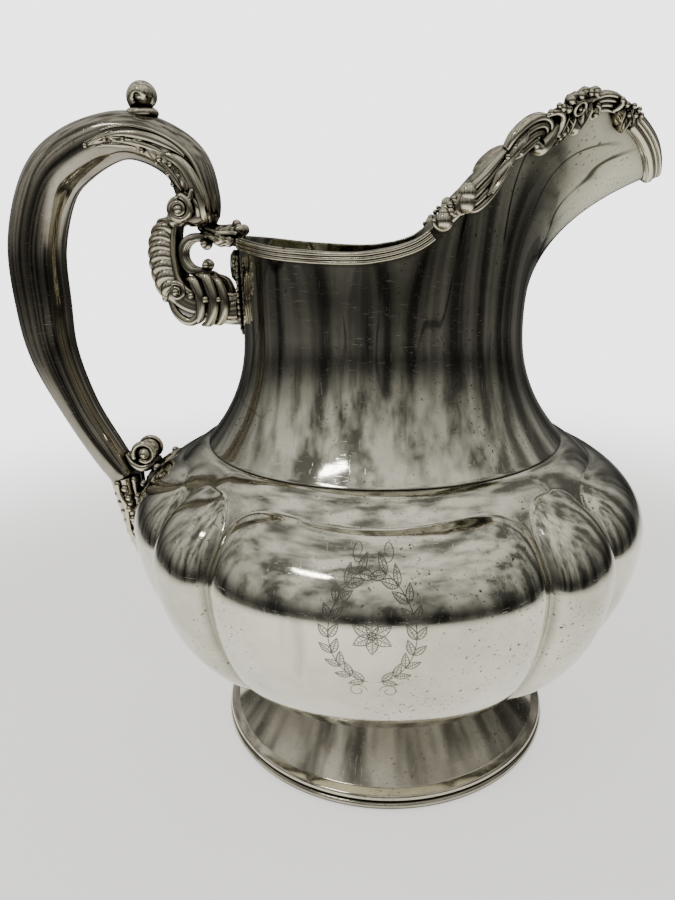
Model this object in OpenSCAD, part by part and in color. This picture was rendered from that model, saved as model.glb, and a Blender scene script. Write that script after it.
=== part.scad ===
// Silver water pitcher: a lobed belly on a spread foot, a flared neck with a scrolled rim and
// spout, and a hollow scroll handle.
// Origin: centre of the foot, on the plane it stands on. +Z up, spout along +X, handle along -X.
// Left and right are as seen by a person who holds the handle and pours: right is -Y, left is +Y.

/* [Foot] */
// Radius of the foot's outer edge
foot_r = 61.5; // [50:0.5:75]
// Height of the foot up to the belly
foot_h = 27; // [22:0.5:34]
// Radius of the foot where it meets the belly
foot_top_r = 42; // [34:0.5:50]
// Height of the wire that the foot stands on
wire_h = 2.6; // [2:0.1:4]
// Width of the wire that the foot stands on
wire_w = 4.6; // [3:0.1:6]
// Radius of the bead between foot and belly
collar_r = 1.5; // [1:0.1:2.5]

/* [Belly] */
// Height of the neck joint above the table
joint_z = 110; // [98:1:132]
// Radius over the middles of the lobes
belly_r = 88.5; // [74:0.5:106]
// Height of the widest part of the belly
belly_mid_z = 83; // [74:1:92]
// Depth of the creases between the lobes
lobe_depth = 7; // [3:0.5:10]
// Angle that each of the four wide lobes covers
wide_lobe = 70; // [56:1:76]
// Height of the wide lobes' tops below the neck joint, at their middles
lobe_drop = 7; // [4:0.5:11]
// How much higher than its middle the corners of a wide lobe's top are
corner_rise = 3.5; // [0:0.5:4]

/* [Neck] */
// Radius of the neck's skirt, where it sits on the belly
skirt_r = 61; // [54:0.5:68]
// Radius of the neck at its waist
waist_r = 46.5; // [40:0.5:54]
// Height of the waist above the neck joint
waist_h = 38; // [32:1:46]
// Height of the rim's lowest point above the neck joint
dip_h = 62; // [54:1:74]
// Height of the rim beside the handle, above its lowest point
rear_rise = 4.5; // [0:0.5:9]
// Height of the spout's shoulders above the rim's lowest point
spout_rise = 38; // [30:1:46]
// Height of the lip's tip above the rim's lowest point
lip_rise = 20.5; // [14:0.5:26]
// Distance of the lip's tip from the pitcher's axis
spout_reach = 85.5; // [74:0.5:103]

/* [Metal] */
// Thickness of the raised silver sheet
wall = 1; // [0.8:0.1:1.5]
// Gap that the solder fills between two pieces
solder = 0.08; // [0.05:0.01:0.2]
// Gap that the solder fills between the neck and its cast mouldings
seat = 0.15; // [0.1:0.01:0.3]

/* [Rim moulding] */
// Radius of one reed of the rim moulding
reed_r = 0.55; // [0.4:0.05:0.8]
// Number of reeds side by side
reeds = 3; // [2:1:4]

/* [Handle] */
// Distance of the handle's outermost point from the pitcher's axis
handle_reach = 128; // [118:0.5:155]
// Height of the handle's top above the neck joint
handle_top_h = 105; // [96:1:112]
// Height of the handle's lower end below the neck joint
handle_low_drop = 18; // [12:1:22]
// Gap between the neck and the middle of the handle's upper end
handle_neck_gap = 13.5; // [12:0.5:18]
// Half of the handle's depth where the hand holds it
grip_depth = 9.3; // [8:0.1:11]
// Half of the handle's width where the hand holds it
grip_width = 9.8; // [8:0.1:11.5]
// Thickness of the handle's stamped halves
handle_wall = 1.4; // [1:0.1:2]

/* [Ornaments] */
// Radius of the thumb scroll's knob
thumb_r = 4.6; // [4:0.1:5.4]
// Outer radius of the volutes beside the handle's upper end
volute_r = 4.8; // [4:0.1:5.6]
// Radius of the knob at the handle's lower end
knob_r = 4.3; // [3.5:0.1:5]
// Radius of the small C-scroll inside the upper bracket
c_scroll_r = 5.6; // [4.5:0.1:6]
// Thickness of the plate that joins the upper bracket to the neck
plate_t = 1.8; // [1.2:0.1:2.6]
// Thickness of the leaf that joins the handle's lower end to the belly
leaf_t = 2.2; // [1.6:0.1:3]

/* [Hidden] */

silver = "silver";
oxidised = "dimgray";

// ---- small helpers ----

function mix(a, b, t) = a + (b - a) * t;
function unit(v) = v / norm(v);
function clamp(v, low, high) = min(max(v, low), high);

// A smooth curve through the points p, at t from 0 to len(p) - 1
function spline(p, t) =
    let (last = len(p) - 1, i = clamp(floor(t), 0, last - 1), f = t - i)
    let (b = p[i], c = p[i + 1])
    let (a = i > 0 ? p[i - 1] : 2 * b - c, d = i + 2 <= last ? p[i + 2] : 2 * c - b)
    b + f / 2 * (c - a + f * (2 * a - 5 * b + 4 * c - d + f * (3 * (b - c) + d - a)));

// A solid skin over rings with equal numbers of points; loop joins the last ring to the first
module skin(rings, loop = false) {
    n = len(rings[0]);
    m = len(rings);
    points = [for (ring = rings) for (p = ring) p];
    sides = [
        for (i = [0:loop ? m - 1 : m - 2], j = [0:n - 1])
            let (a = i * n + j, b = i * n + (j + 1) % n)
            let (c = (i + 1) % m * n + (j + 1) % n, d = (i + 1) % m * n + j)
            for (face = [[a, c, b], [a, d, c]]) face
    ];
    first = [for (j = [0:n - 1]) j];
    last = [for (j = [n - 1:-1:0]) (m - 1) * n + j];
    polyhedron(points, loop ? sides : concat(sides, [first, last]), convexity = 8);
}

module left_twin() {
    mirror([0, 1, 0]) children();
}

// ---- belly surface ----

belly_z = foot_h + solder;
lobe_top_z = joint_z - lobe_drop;
narrow_top_z = joint_z - 5;
narrow_lobe = 90 - wide_lobe;
bowl_power = 1.9;
crest_power = 1.7;
valley_power = 1.4;

// Radius of a bowl with its widest radius r, at height z
function bowl_r(z, r, top_power) =
    z < belly_mid_z
        ? let (s = clamp((belly_mid_z - z) / (belly_mid_z - belly_z), 0, 1))
          foot_top_r + (r - foot_top_r) * pow(1 - pow(s, bowl_power), 1 / bowl_power)
        : let (s = clamp((z - belly_mid_z) / (joint_z - belly_mid_z), 0, 1))
          collar_edge_r + (r - collar_edge_r) * pow(1 - pow(s, top_power), 1 / top_power);
collar_edge_r = skirt_r - wall - solder;

// How far a lobe stands out, 0 in the creases and 1 on the crest
function lobe_bump(angle, z) =
    let (a = abs((angle + 405) % 90 - 45))
    let (wide = a < wide_lobe / 2)
    let (side = wide ? a / (wide_lobe / 2) : (45 - a) / (narrow_lobe / 2))
    let (top = wide ? lobe_top_z + corner_rise * side * side : narrow_top_z)
    let (rise = clamp((z - belly_mid_z) / (top - belly_mid_z), 0, 1))
    pow(max(0, 1 - pow(side, wide ? 5 : 2.5) - pow(rise, 4)), 0.6);

function belly_at(angle, z) =
    let (valley = bowl_r(z, belly_r - lobe_depth, valley_power))
    let (crest = bowl_r(z, belly_r, crest_power))
    mix(valley, crest, lobe_bump(angle, z));

// Angles round the belly, closer together beside the creases
wide_steps = [-1, -0.96, -0.88, -0.72, -0.48, -0.24, 0, 0.24, 0.48, 0.72, 0.88, 0.96];
narrow_steps = [-1, -0.85, -0.5, 0, 0.5, 0.85];
belly_angles = [
    for (q = [0:3]) each concat(
        [for (s = wide_steps) q * 90 + s * wide_lobe / 2],
        [for (s = narrow_steps) q * 90 + 45 + s * narrow_lobe / 2]
    )
];

// Heights of the belly's rings, from the foot (0) over the widest part (1) to the joint (2)
function belly_ring_z(t) =
    t < 1
        ? mix(belly_mid_z, belly_z, pow(cos(90 * t), 2 / bowl_power))
        : mix(belly_mid_z, joint_z, pow(sin(90 * (t - 1)), 2 / crest_power));

function belly_slope(z) =
    let (e = 0.2, low = max(z - e, belly_z), high = min(z + e, joint_z))
    let (dr = bowl_r(high, belly_r, crest_power) - bowl_r(low, belly_r, crest_power))
    unit([high - low, -dr]);

function belly_ring(t, inset) =
    let (z = belly_ring_z(t), n = belly_slope(z))
    [for (a = belly_angles)
        let (r = belly_at(a, z) - inset * n[0])
        [r * cos(a), r * sin(a), z - inset * n[1]]];

function circle_ring(r, z) = [for (a = belly_angles) [r * cos(a), r * sin(a), z]];

// ---- neck surface ----

waist_z = joint_z + waist_h;
dip_z = joint_z + dip_h;
peak_z = dip_z + spout_rise;
skirt_power = 2.3;

// Half of the rim, from the handle round to the lip's tip. Each row holds the angle on the
// waist below it, x as a share of the waist's radius behind the axis and of the spout's reach
// in front of it, y as a share of the waist's radius, and the height as a share of the rise
rear_share = rear_rise / spout_rise;
lip_share = lip_rise / spout_rise;
rim_half = [
    [180, -1.00, 0.00, rear_share],
    [154, -0.89, 0.46, 0.8 * rear_share],
    [127, -0.58, 0.82, 0.3 * rear_share],
    [100, -0.12, 0.98, 0],
    [80, 0.10, 0.97, 0.06],
    [68, 0.22, 0.94, 0.24],
    [57, 0.34, 0.88, 0.495],
    [45, 0.47, 0.79, 0.79],
    [34, 0.60, 0.68, 0.955],
    [24, 0.72, 0.57, 1],
    [15, 0.84, 0.43, 0.92],
    [7, 0.945, 0.25, 0.73],
    [0, 1.00, 0.00, lip_share]
];
rim_steps = len(rim_half) - 1;
function mirror_row(row) = [-row[0], row[1], -row[2], row[3]];
rim_rows = concat(
    [mirror_row(rim_half[1]) + [360, 0, 0, 0]], rim_half, [mirror_row(rim_half[rim_steps - 1])]
);

// Row of the rim at u, from 0 beside the handle to rim_steps at the lip's tip
function rim_row(u) = spline(rim_rows, u + 1);
function rim_x(share) = share * (share < 0 ? waist_r : spout_reach);

// Point of the neck's outer surface on the right side: v is 0 at the skirt's edge, 1 at the
// waist and 2 at the rim
function neck_at(u, v) =
    let (row = rim_row(u), a = -row[0])
    v <= 1
        ? let (r = waist_r + (skirt_r - waist_r) * pow(1 - v, skirt_power))
          [r * cos(a), r * sin(a), mix(joint_z, waist_z, v)]
        : let (t = v - 1, foot = [waist_r * cos(a), waist_r * sin(a), waist_z])
          let (top = [rim_x(row[1]), -row[2] * waist_r, dip_z + row[3] * spout_rise])
          let (knee = [foot[0], foot[1], mix(waist_z, top[2], 0.7)])
          pow(1 - t, 2) * foot + 2 * t * (1 - t) * knee + t * t * top;

function neck_out(u, v) =
    let (e = 0.02, w = min(v, 2 - e))
    let (along = neck_at(u + e, w) - neck_at(u - e, w), up = neck_at(u, w + e) - neck_at(u, w))
    unit(cross(along, up));

function neck_up(u) = unit(neck_at(u, 2) - neck_at(u, 1.96));

function neck_inset(u, v, inset) =
    v < 1 ? neck_at(u, v) - inset * [cos(-rim_row(u)[0]), sin(-rim_row(u)[0]), 0]
          : neck_at(u, v) - inset * neck_out(u, v);

function flip_y(p) = [p[0], -p[1], p[2]];

neck_sub = 3;
function neck_ring(v, inset) =
    let (half = rim_steps * neck_sub)
    concat(
        [for (i = [0:half]) neck_inset(i / neck_sub, v, inset)],
        [for (i = [half - 1:-1:1]) flip_y(neck_inset(i / neck_sub, v, inset))]
    );

// ---- sections and sweeps ----

// Reeded section, as pairs of how far out it stands and how far down the neck it reaches
reed_back = 0.7;
moulding_h = 2 * reeds * reed_r;
reed_angles = [75, 25, -25, -75];
reeded_section = concat(
    [[0, 0]],
    [for (k = [0:reeds - 1], a = reed_angles)
        [reed_back + reed_r * cos(a), reed_r * (2 * k + 1 - sin(a))]],
    [[0, moulding_h], [0, moulding_h / 2]]
);

// Point beside the rim at u: drop down the neck's surface and out from the metal
function beside_rim(u, drop, out) =
    let (fall = drop / norm(neck_at(u, 2) - neck_at(u, 1.8)) * 0.2)
    drop < 0
        ? neck_at(u, 2) + neck_out(u, 2) * (out + seat) - neck_up(u) * drop
        : neck_at(u, 2 - fall) + neck_out(u, 2 - fall) * (out + seat);

// Ring of a moulding at u on the rim: section scaled by size
function rim_ring(u, section, size = 1) =
    [for (s = section) beside_rim(u, s[1] * size, s[0] * size)];

module rim_sweep(from, to, steps, section, size_from = 1, size_to = 1) {
    skin([
        for (i = [0:steps])
            let (t = i / steps)
            rim_ring(mix(from, to, t), section, mix(size_from, size_to, t))
    ]);
}

// Point, in-plane normal and sizes of a flat scroll: rows are [x, z, depth, width]
function scroll_ring(rows, t, sides) =
    let (e = 0.05, row = spline(rows, t), lo = spline(rows, t - e), hi = spline(rows, t + e))
    let (run = unit([hi[0] - lo[0], hi[1] - lo[1]]))
    [for (k = [0:sides - 1])
        let (a = 360 * k / sides)
        [row[0] - run[1] * row[2] * cos(a), -row[3] * sin(a), row[1] + run[0] * row[2] * cos(a)]];

module scroll(rows, steps, sides = 10) {
    skin([for (i = [0:steps]) scroll_ring(rows, (len(rows) - 1) * i / steps, sides)]);
}

// ---- handle ----

handle_top_z = joint_z + handle_top_h;
handle_low_z = joint_z - handle_low_drop;
handle_in_x = waist_r + handle_neck_gap;
handle_low_x = bowl_r(handle_low_z, belly_r, crest_power) + leaf_t + 0.7 * grip_depth;

// Path from the neck over the top and down to the belly: share of the way out to the handle's
// reach, share of the height above its lower end, and depth and width as shares of the grip's
neck_level = 0.72;
handle_shape = [
    [0.00, 0.755, 0.36, 0.38],
    [0.00, 0.775, 0.66, 0.60],
    [0.00, 0.835, 0.76, 0.70],
    [0.06, 0.925, 0.80, 0.78],
    [0.24, 0.985, 0.79, 0.80],
    [0.44, 1.000, 0.80, 0.84],
    [0.69, 0.955, 0.93, 0.92],
    [0.865, 0.875, 0.97, 0.98],
    [0.985, 0.715, 1.00, 1.00],
    [1.00, 0.545, 0.98, 1.00],
    [0.97, 0.395, 0.86, 0.92],
    [0.77, 0.226, 0.68, 0.80],
    [0.42, 0.085, 0.64, 0.74],
    [0.18, 0.022, 0.60, 0.66],
    [0.09, 0.00, 0.36, 0.40]
];
function handle_row(s) =
    let (inner = mix(handle_low_x, handle_in_x, clamp(s[1] / neck_level, 0, 1)))
    let (outer = handle_reach - grip_depth, top = handle_top_z - 0.74 * grip_depth)
    [-mix(inner, outer, s[0]), mix(handle_low_z, top, s[1]), s[2] * grip_depth, s[3] * grip_width];
handle_rows = [for (s = handle_shape) handle_row(s)];
handle_steps = 42;

// Half section, outer arc then inner arc, on the -Y side of the seam. The seam's faces lean by
// seam_draft, so that the halves meet at their outer edges
seam_draft = 0.03;
half_angles = [for (k = [0:8]) 180 + 22.5 * k];
function handle_ring(t, inset) =
    let (e = 0.05, row = spline(handle_rows, t))
    let (lo = spline(handle_rows, t - e), hi = spline(handle_rows, t + e))
    let (run = unit([hi[0] - lo[0], hi[1] - lo[1]]), d = row[2] - inset, w = row[3] - inset)
    [for (a = half_angles)
        let (y = w * sin(a) - solder / 2 - seam_draft * inset)
        [row[0] + run[1] * d * cos(a), y, row[1] - run[0] * d * cos(a)]];

function reversed(list) = [for (k = [len(list) - 1:-1:0]) list[k]];

module handle_half() {
    span = len(handle_rows) - 1;
    rings = [
        for (i = [0:handle_steps])
            let (t = span * i / handle_steps)
            concat(handle_ring(t, 0), reversed(handle_ring(t, handle_wall)))
    ];
    color(silver) skin(rings);
}

// ---- pieces of the foot and body ----

module foot_rim_wire() {
    round_r = wire_h / 2;
    inset = 0.4;
    color(oxidised)
    rotate_extrude($fn = 96)
    translate([foot_r - inset - wire_w, 0])
    union() {
        square([wire_w - round_r, wire_h]);
        translate([wire_w - round_r, round_r]) circle(round_r, $fn = 32);
    }
}

// Outer outline of the foot, from its edge (0) up to the bead (1)
function foot_curve(t) =
    let (edge = [foot_r - 1, wire_h + solder])
    let (top = [foot_top_r, foot_h - 2 * (collar_r + solder)])
    let (bend = [mix(foot_r, foot_top_r, 0.56), mix(wire_h, foot_h, 0.38)])
    pow(1 - t, 2) * edge + 2 * t * (1 - t) * bend + t * t * top;

module foot_shell() {
    steps = 12;
    roll_r = 1.3;
    outer = [for (i = [0:steps]) foot_curve(i / steps)];
    inner = [for (p = outer) [p[0] - wall, p[1]]];
    color(silver)
    rotate_extrude($fn = 96)
    union() {
        polygon(concat(outer, reversed(inner)));
        translate([foot_r - 0.9 - roll_r, wire_h + solder + roll_r]) circle(roll_r, $fn = 24);
    }
}

module foot_collar() {
    color(oxidised)
    rotate_extrude($fn = 96)
    translate([foot_top_r - wall / 2, foot_h - solder - collar_r])
    circle(collar_r, $fn = 32);
}

module belly_shell() {
    outer_steps = 22;
    inner_steps = 15;
    collar_h = 5;
    neck_wall = wall + solder;
    collar_top = neck_at(0, collar_h / waist_h);
    top_r = -collar_top[0] - neck_wall;
    rings = concat(
        [for (i = [0:outer_steps]) belly_ring(2 * i / outer_steps, 0)],
        [circle_ring(top_r, joint_z + collar_h), circle_ring(top_r - wall, joint_z + collar_h)],
        [for (i = [inner_steps:-1:0]) belly_ring(2 * i / inner_steps, wall)]
    );
    color(silver) skin(rings);
}

module neck_shell() {
    low = [0, 0.12, 0.28, 0.5, 0.75, 1, 1.25, 1.45, 1.62, 1.76, 1.89, 2];
    high = [2, 1.8, 1.55, 1.25, 1, 0.6, 0.25, 0];
    rings = concat([for (v = low) neck_ring(v, 0)], [for (v = high) neck_ring(v, wall)]);
    color(silver) skin(rings, loop = true);
}

// ---- pieces of the rim ----

// Places along the right half of the rim where one casting ends and the next begins
knot_from = 4.6;
side_from = 5.5;
side_to = 7.45;
arch_from = 8.62;
sprig_from = 9.62;
lip_from = 10.2;
butt = 0.02;
side_size = [1.3, 2];
arch_size = [1.9, 1.6];
lip_size = 1.7;

// Overlapping beads on the rim: each is its place on the rim, its drop and its radius
module beads(list) {
    for (b = list) translate(beside_rim(b[0], b[1], b[2])) sphere(b[2], $fn = 12);
}

module rim_reeding() {
    color(silver) rim_sweep(butt, knot_from - butt, 20, reeded_section);
}

module rim_knot() {
    color(silver)
    beads([[4.82, 0.6, 2], [4.98, -0.4, 1.7], [5.12, -0.8, 1.6], [5.28, -0.2, 2.2]]);
}

module side_scroll() {
    color(silver)
    rim_sweep(side_from, side_to, 16, reeded_section, side_size[0], side_size[1]);
}

module shell_cluster() {
    color(silver)
    beads([[7.7, 1.4, 2.4], [7.93, -0.2, 2.1], [8.02, 3.3, 2.6], [8.26, 0.7, 2.3], [8.36, 4.2, 2.4]]);
}

module lip_scroll() {
    color(silver)
    rim_sweep(arch_from, sprig_from - butt, 12, reeded_section, arch_size[0], arch_size[1]);
}

module lip_sprig() {
    color(silver)
    beads([[9.76, 1.2, 1.6], [9.82, 3.4, 1.6], [9.92, 2, 1.5], [9.99, 4.2, 1.5]]);
}

module lip_moulding() {
    steps = 10;
    right = [
        for (i = [0:steps])
            rim_ring(mix(lip_from + butt, rim_steps, i / steps), reeded_section, lip_size)
    ];
    left = [for (i = [steps - 1:-1:0]) [for (p = right[i]) flip_y(p)]];
    color(silver) skin(concat(right, left));
}

rear_z = dip_z + rear_rise;

module rim_leaf() {
    rise = 2.2;
    tip = handle_rows[0];
    color(silver)
    scroll([
        [tip[0] - 0.2, tip[1] - 0.9, 0.5, 0.8],
        [tip[0] + 2.5, tip[1] - 1.4, 0.9, 2.6],
        [-waist_r - 7, rear_z + rise - 0.6, 1.9, 3.4],
        [-waist_r - 2.5, rear_z + rise, 1.8, 2.8],
        [-waist_r + 0.4, rear_z + rise + 0.6, 0.5, 0.8]
    ], 12, 12);
}

// ---- pieces of the handle ----

// Point on the handle's skin: t along it, a round its section, out from the metal
function handle_skin(t, a, out) =
    let (e = 0.05, row = spline(handle_rows, t))
    let (lo = spline(handle_rows, t - e), hi = spline(handle_rows, t + e))
    let (run = unit([hi[0] - lo[0], hi[1] - lo[1]]), d = row[2] + out, w = row[3] + out)
    [row[0] + run[1] * d * cos(a), w * sin(a), row[1] - run[0] * d * cos(a)];

thumb_t = 4.36;

module thumb_scroll() {
    color(silver)
    translate(handle_skin(thumb_t, 0, thumb_r + solder))
    union() {
        sphere(thumb_r, $fn = 32);
        for (side = [-1, 1])
            translate([-thumb_r / 5, side * 0.75 * thumb_r, 0]) sphere(thumb_r / 2, $fn = 24);
    }
}

volute_x = -handle_in_x - 4.2;
volute_z = handle_row(handle_shape[1])[1] + 3;
volute_y = 0.74 * grip_width;

module volute() {
    ring_r = 1.5;
    color(silver)
    translate([volute_x, -volute_y - ring_r, volute_z])
    rotate([90, 0, 0])
    union() {
        cylinder(h = 1.2, r = volute_r - ring_r, center = true, $fn = 48);
        rotate_extrude($fn = 48) translate([volute_r - ring_r, 0]) circle(ring_r, $fn = 24);
        sphere(1.9, $fn = 24);
    }
}

module acanthus() {
    steps = 12;
    from = 2.45;
    to = 5.4;
    middle = 250;
    relief = 1.5;
    rings = [
        for (i = [0:steps])
            let (t = mix(from, to, i / steps), half = 6 + 24 * sin(10 + 160 * i / steps))
            concat(
                [for (k = [1:-0.5:-1]) handle_skin(t, middle + k * half, solder)],
                [for (k = [-1:0.5:1])
                    handle_skin(t, middle + 0.9 * k * half, solder + relief * (1 - 0.7 * k * k))]
            )
    ];
    color(silver) skin(rings);
}

bracket_z = joint_z + 43;
bracket_back = 13.2;
bracket_depth = 4.6;
bracket_top_d = 1.8;
bracket_top_x = -handle_in_x - 0.68 * grip_depth - bracket_top_d - 3 * solder;
plate_x = waist_r + solder + plate_t;
function bracket_level(share) = mix(bracket_z, volute_z, share);

module upper_bracket() {
    color(silver)
    scroll([
        [bracket_top_x, bracket_level(0.93), bracket_top_d, 3.8],
        [-handle_in_x - 12.4, bracket_level(0.72), 4, 5],
        [-handle_in_x - bracket_back, bracket_level(0.5), bracket_depth, 5.8],
        [-handle_in_x - 10.4, bracket_level(0.25), 5.2, 6.4],
        [-handle_in_x - 4.5, bracket_level(0.09), 5.4, 6.8],
        [-plate_x - 4, bracket_z, 5.2, 6.8],
        [-plate_x - solder, bracket_z, 5.6, 6.6]
    ], 20, 12);
}

module bracket_scroll() {
    tube_r = 1.6;
    tip_r = 1.8;
    ends = [70, 290];
    bracket_inner_x = -handle_in_x - bracket_back + bracket_depth;
    color(silver)
    translate([bracket_inner_x + solder + tube_r + c_scroll_r, 0, bracket_level(0.55)])
    rotate([90, 0, 0])
    union() {
        rotate([0, 0, ends[0]])
        rotate_extrude(angle = ends[1] - ends[0], $fn = 48)
        translate([c_scroll_r, 0])
        circle(tube_r, $fn = 24);
        for (a = ends)
            rotate([0, 0, a]) translate([c_scroll_r - 0.5, 0, 0]) sphere(tip_r, $fn = 24);
    }
}

// A pointed oval plate, cut from a band that fits the neck
module neck_mount_plate() {
    plate_z = bracket_z + 5;
    side_r = 17;
    side_y = 9.5;
    color(silver)
    intersection() {
        translate([0, 0, plate_z - side_r])
        difference() {
            cylinder(h = 2 * side_r, r = plate_x, $fn = 96);
            translate([0, 0, -1]) cylinder(h = 2 * side_r + 2, r = waist_r + solder, $fn = 96);
        }
        intersection_for(side = [-1, 1])
        translate([0, side * side_y, plate_z])
        rotate([0, -90, 0])
        cylinder(h = 2 * waist_r, r = side_r, $fn = 64);
    }
}

module lower_scroll() {
    top = bowl_r(joint_z - 8, belly_r, crest_power);
    inner_x = -top - 8;
    outer_x = handle_rows[len(handle_rows) - 2][0] + 0.47 * grip_depth;
    color(silver)
    union() {
        translate([-top - 9, 0, joint_z - 8.4]) sphere(knob_r, $fn = 32);
        scroll([
            [outer_x, joint_z - 9, 1.2, 2.6],
            [mix(inner_x, outer_x, 0.72), joint_z - 12, 1.9, 3.8],
            [mix(inner_x, outer_x, 0.33), joint_z - 12.4, 1.9, 4],
            [inner_x, joint_z - 10, 1.6, 3]
        ], 8);
    }
}

// Section of the leaf on the belly at height z
function leaf_ring(z, half, thick) =
    let (steps = [-1, -0.5, 0, 0.5, 1], n = belly_slope(z))
    let (at = function (k, out)
        let (a = 180 + k * half, r = belly_at(a, z) + out * n[0])
        [r * cos(a), r * sin(a), z + out * n[1]])
    concat(
        [for (k = steps) at(k, solder)],
        [for (k = reversed(steps)) at(0.9 * k, solder + thick * (1 - 0.65 * k * k))]
    );

module lower_mount_leaf() {
    top_z = joint_z - 9;
    tip_z = joint_z - 53;
    steps = 14;
    rings = [
        for (i = [0:steps])
            let (t = i / steps, half = 1 + 8.5 * sqrt(sin(6 + 170 * t)) * (1 - 0.55 * t))
            leaf_ring(mix(top_z, tip_z, t), half, leaf_t * mix(0.5, 1, sin(180 * t)))
    ];
    color(silver) skin(rings);
}

// Row of the tail at height z, standing on the leaf, with half its depth and half its width
function tail_row(z, depth, width) =
    [-bowl_r(z, belly_r, crest_power) - (leaf_t + 4 * solder) / belly_slope(z)[0] - depth,
        z, depth, width];

module handle_tail() {
    last = len(handle_rows) - 1;
    end = handle_rows[last];
    run = unit([end[0] - handle_rows[last - 1][0], end[1] - handle_rows[last - 1][1]]);
    gap = 2 * solder;
    level_to = 1.4;
    color(silver)
    scroll([
        [end[0] + run[0] * gap, end[1] + run[1] * gap, 0.5 * grip_depth, 0.6 * grip_width],
        [end[0] + run[0] * level_to, end[1] + run[1] * level_to, 0.51 * grip_depth, 0.6 * grip_width],
        tail_row(handle_low_z - 7, 0.54 * grip_depth, 0.6 * grip_width),
        tail_row(handle_low_z - 15, 0.46 * grip_depth, 0.56 * grip_width),
        tail_row(handle_low_z - 24, 0.46 * grip_depth, 0.48 * grip_width),
        tail_row(handle_low_z - 32, 0.4 * grip_depth, 0.34 * grip_width),
        tail_row(handle_low_z - 37, 0.1 * grip_depth, 0.1 * grip_width)
    ], 20, 12);
}

foot_rim_wire();
foot_shell();
foot_collar();
belly_shell();
neck_shell();
rim_reeding();  // rim_reeding_right
left_twin() rim_reeding();  // rim_reeding_left
rim_knot();  // rim_knot_right
left_twin() rim_knot();  // rim_knot_left
side_scroll();  // side_scroll_right
left_twin() side_scroll();  // side_scroll_left
shell_cluster();  // shell_cluster_right
left_twin() shell_cluster();  // shell_cluster_left
lip_scroll();  // lip_scroll_right
left_twin() lip_scroll();  // lip_scroll_left
lip_sprig();  // lip_sprig_right
left_twin() lip_sprig();  // lip_sprig_left
lip_moulding();
rim_leaf();
handle_half();  // handle_half_right
left_twin() handle_half();  // handle_half_left
thumb_scroll();
volute();  // volute_right
left_twin() volute();  // volute_left
acanthus();  // acanthus_right
left_twin() acanthus();  // acanthus_left
upper_bracket();
bracket_scroll();
neck_mount_plate();
handle_tail();
lower_scroll();
lower_mount_leaf();
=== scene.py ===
import math

import bpy
import numpy as np
from mathutils import Matrix, Vector


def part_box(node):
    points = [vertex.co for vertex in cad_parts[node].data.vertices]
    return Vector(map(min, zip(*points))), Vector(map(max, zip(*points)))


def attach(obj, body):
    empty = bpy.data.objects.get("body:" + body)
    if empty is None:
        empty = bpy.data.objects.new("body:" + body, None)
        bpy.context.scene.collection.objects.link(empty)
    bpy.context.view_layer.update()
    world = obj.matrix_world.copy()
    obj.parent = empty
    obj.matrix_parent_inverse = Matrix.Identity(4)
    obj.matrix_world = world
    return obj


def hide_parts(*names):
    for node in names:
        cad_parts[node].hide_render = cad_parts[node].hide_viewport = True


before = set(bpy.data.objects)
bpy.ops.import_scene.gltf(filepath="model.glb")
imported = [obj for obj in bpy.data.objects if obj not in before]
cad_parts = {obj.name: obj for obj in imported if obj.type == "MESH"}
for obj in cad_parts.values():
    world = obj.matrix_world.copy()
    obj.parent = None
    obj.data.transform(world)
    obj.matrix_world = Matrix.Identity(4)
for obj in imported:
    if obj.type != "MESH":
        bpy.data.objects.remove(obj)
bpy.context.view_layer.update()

# ---------------------------------------------------------------- sizes, in mm, from the frame
MM = 0.001


def corner(node, axis, high):
    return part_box(node)[1 if high else 0][axis] / MM


SOLDER = 0.08
SEAT = 0.15
WALL = 1.0
WIRE_H = corner("foot_rim_wire", 2, True)
FOOT_ROUND = 0.4
FOOT_R = corner("foot_rim_wire", 0, True) + FOOT_ROUND
BELLY_Z = corner("belly_shell", 2, False)
FOOT_H = BELLY_Z - SOLDER
COLLAR_R = (corner("foot_collar", 2, True) - corner("foot_collar", 2, False)) / 2
FOOT_TOP_R = corner("foot_collar", 0, True) - COLLAR_R + WALL / 2
JOINT_Z = corner("neck_shell", 2, False)
SKIRT_R = -corner("neck_shell", 0, False)
REACH = corner("neck_shell", 0, True)
PLATE_T = 1.8
WAIST_R = -corner("neck_mount_plate", 0, False) - SOLDER - PLATE_T
WAIST_Z = JOINT_Z + 38
DIP_Z = JOINT_Z + 62
SPOUT_RISE = 38
REAR_RISE = 4.5
LIP_RISE = 20.5
BELLY_R = corner("belly_shell", 0, True)
BELLY_MID_Z = 83
LOBE_DEPTH = 7
WIDE_LOBE = 70
LOBE_TOP_Z = JOINT_Z - 7
NARROW_TOP_Z = JOINT_Z - 5
CORNER_RISE = 3.5
GRIP_D = 9.3
GRIP_W = 9.8
HANDLE_REACH = -corner("handle_half_right", 0, False)
HANDLE_TOP_Z = corner("handle_half_right", 2, True)
HANDLE_LOW_Z = JOINT_Z - 18
HANDLE_IN_X = WAIST_R + 13.5
LEAF_T = 2.2


# ---------------------------------------------------------------- small maths
def arr(*v):
    return np.array(v, float)


def unit(v):
    v = np.asarray(v, float)
    return v / np.maximum(np.linalg.norm(v, axis=-1, keepdims=True), 1e-9)


def mix(a, b, t):
    return a + (b - a) * t


def smooth(a, b, t):
    s = np.clip((np.asarray(t, float) - a) / (b - a), 0, 1)
    return s * s * (3 - 2 * s)


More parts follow.
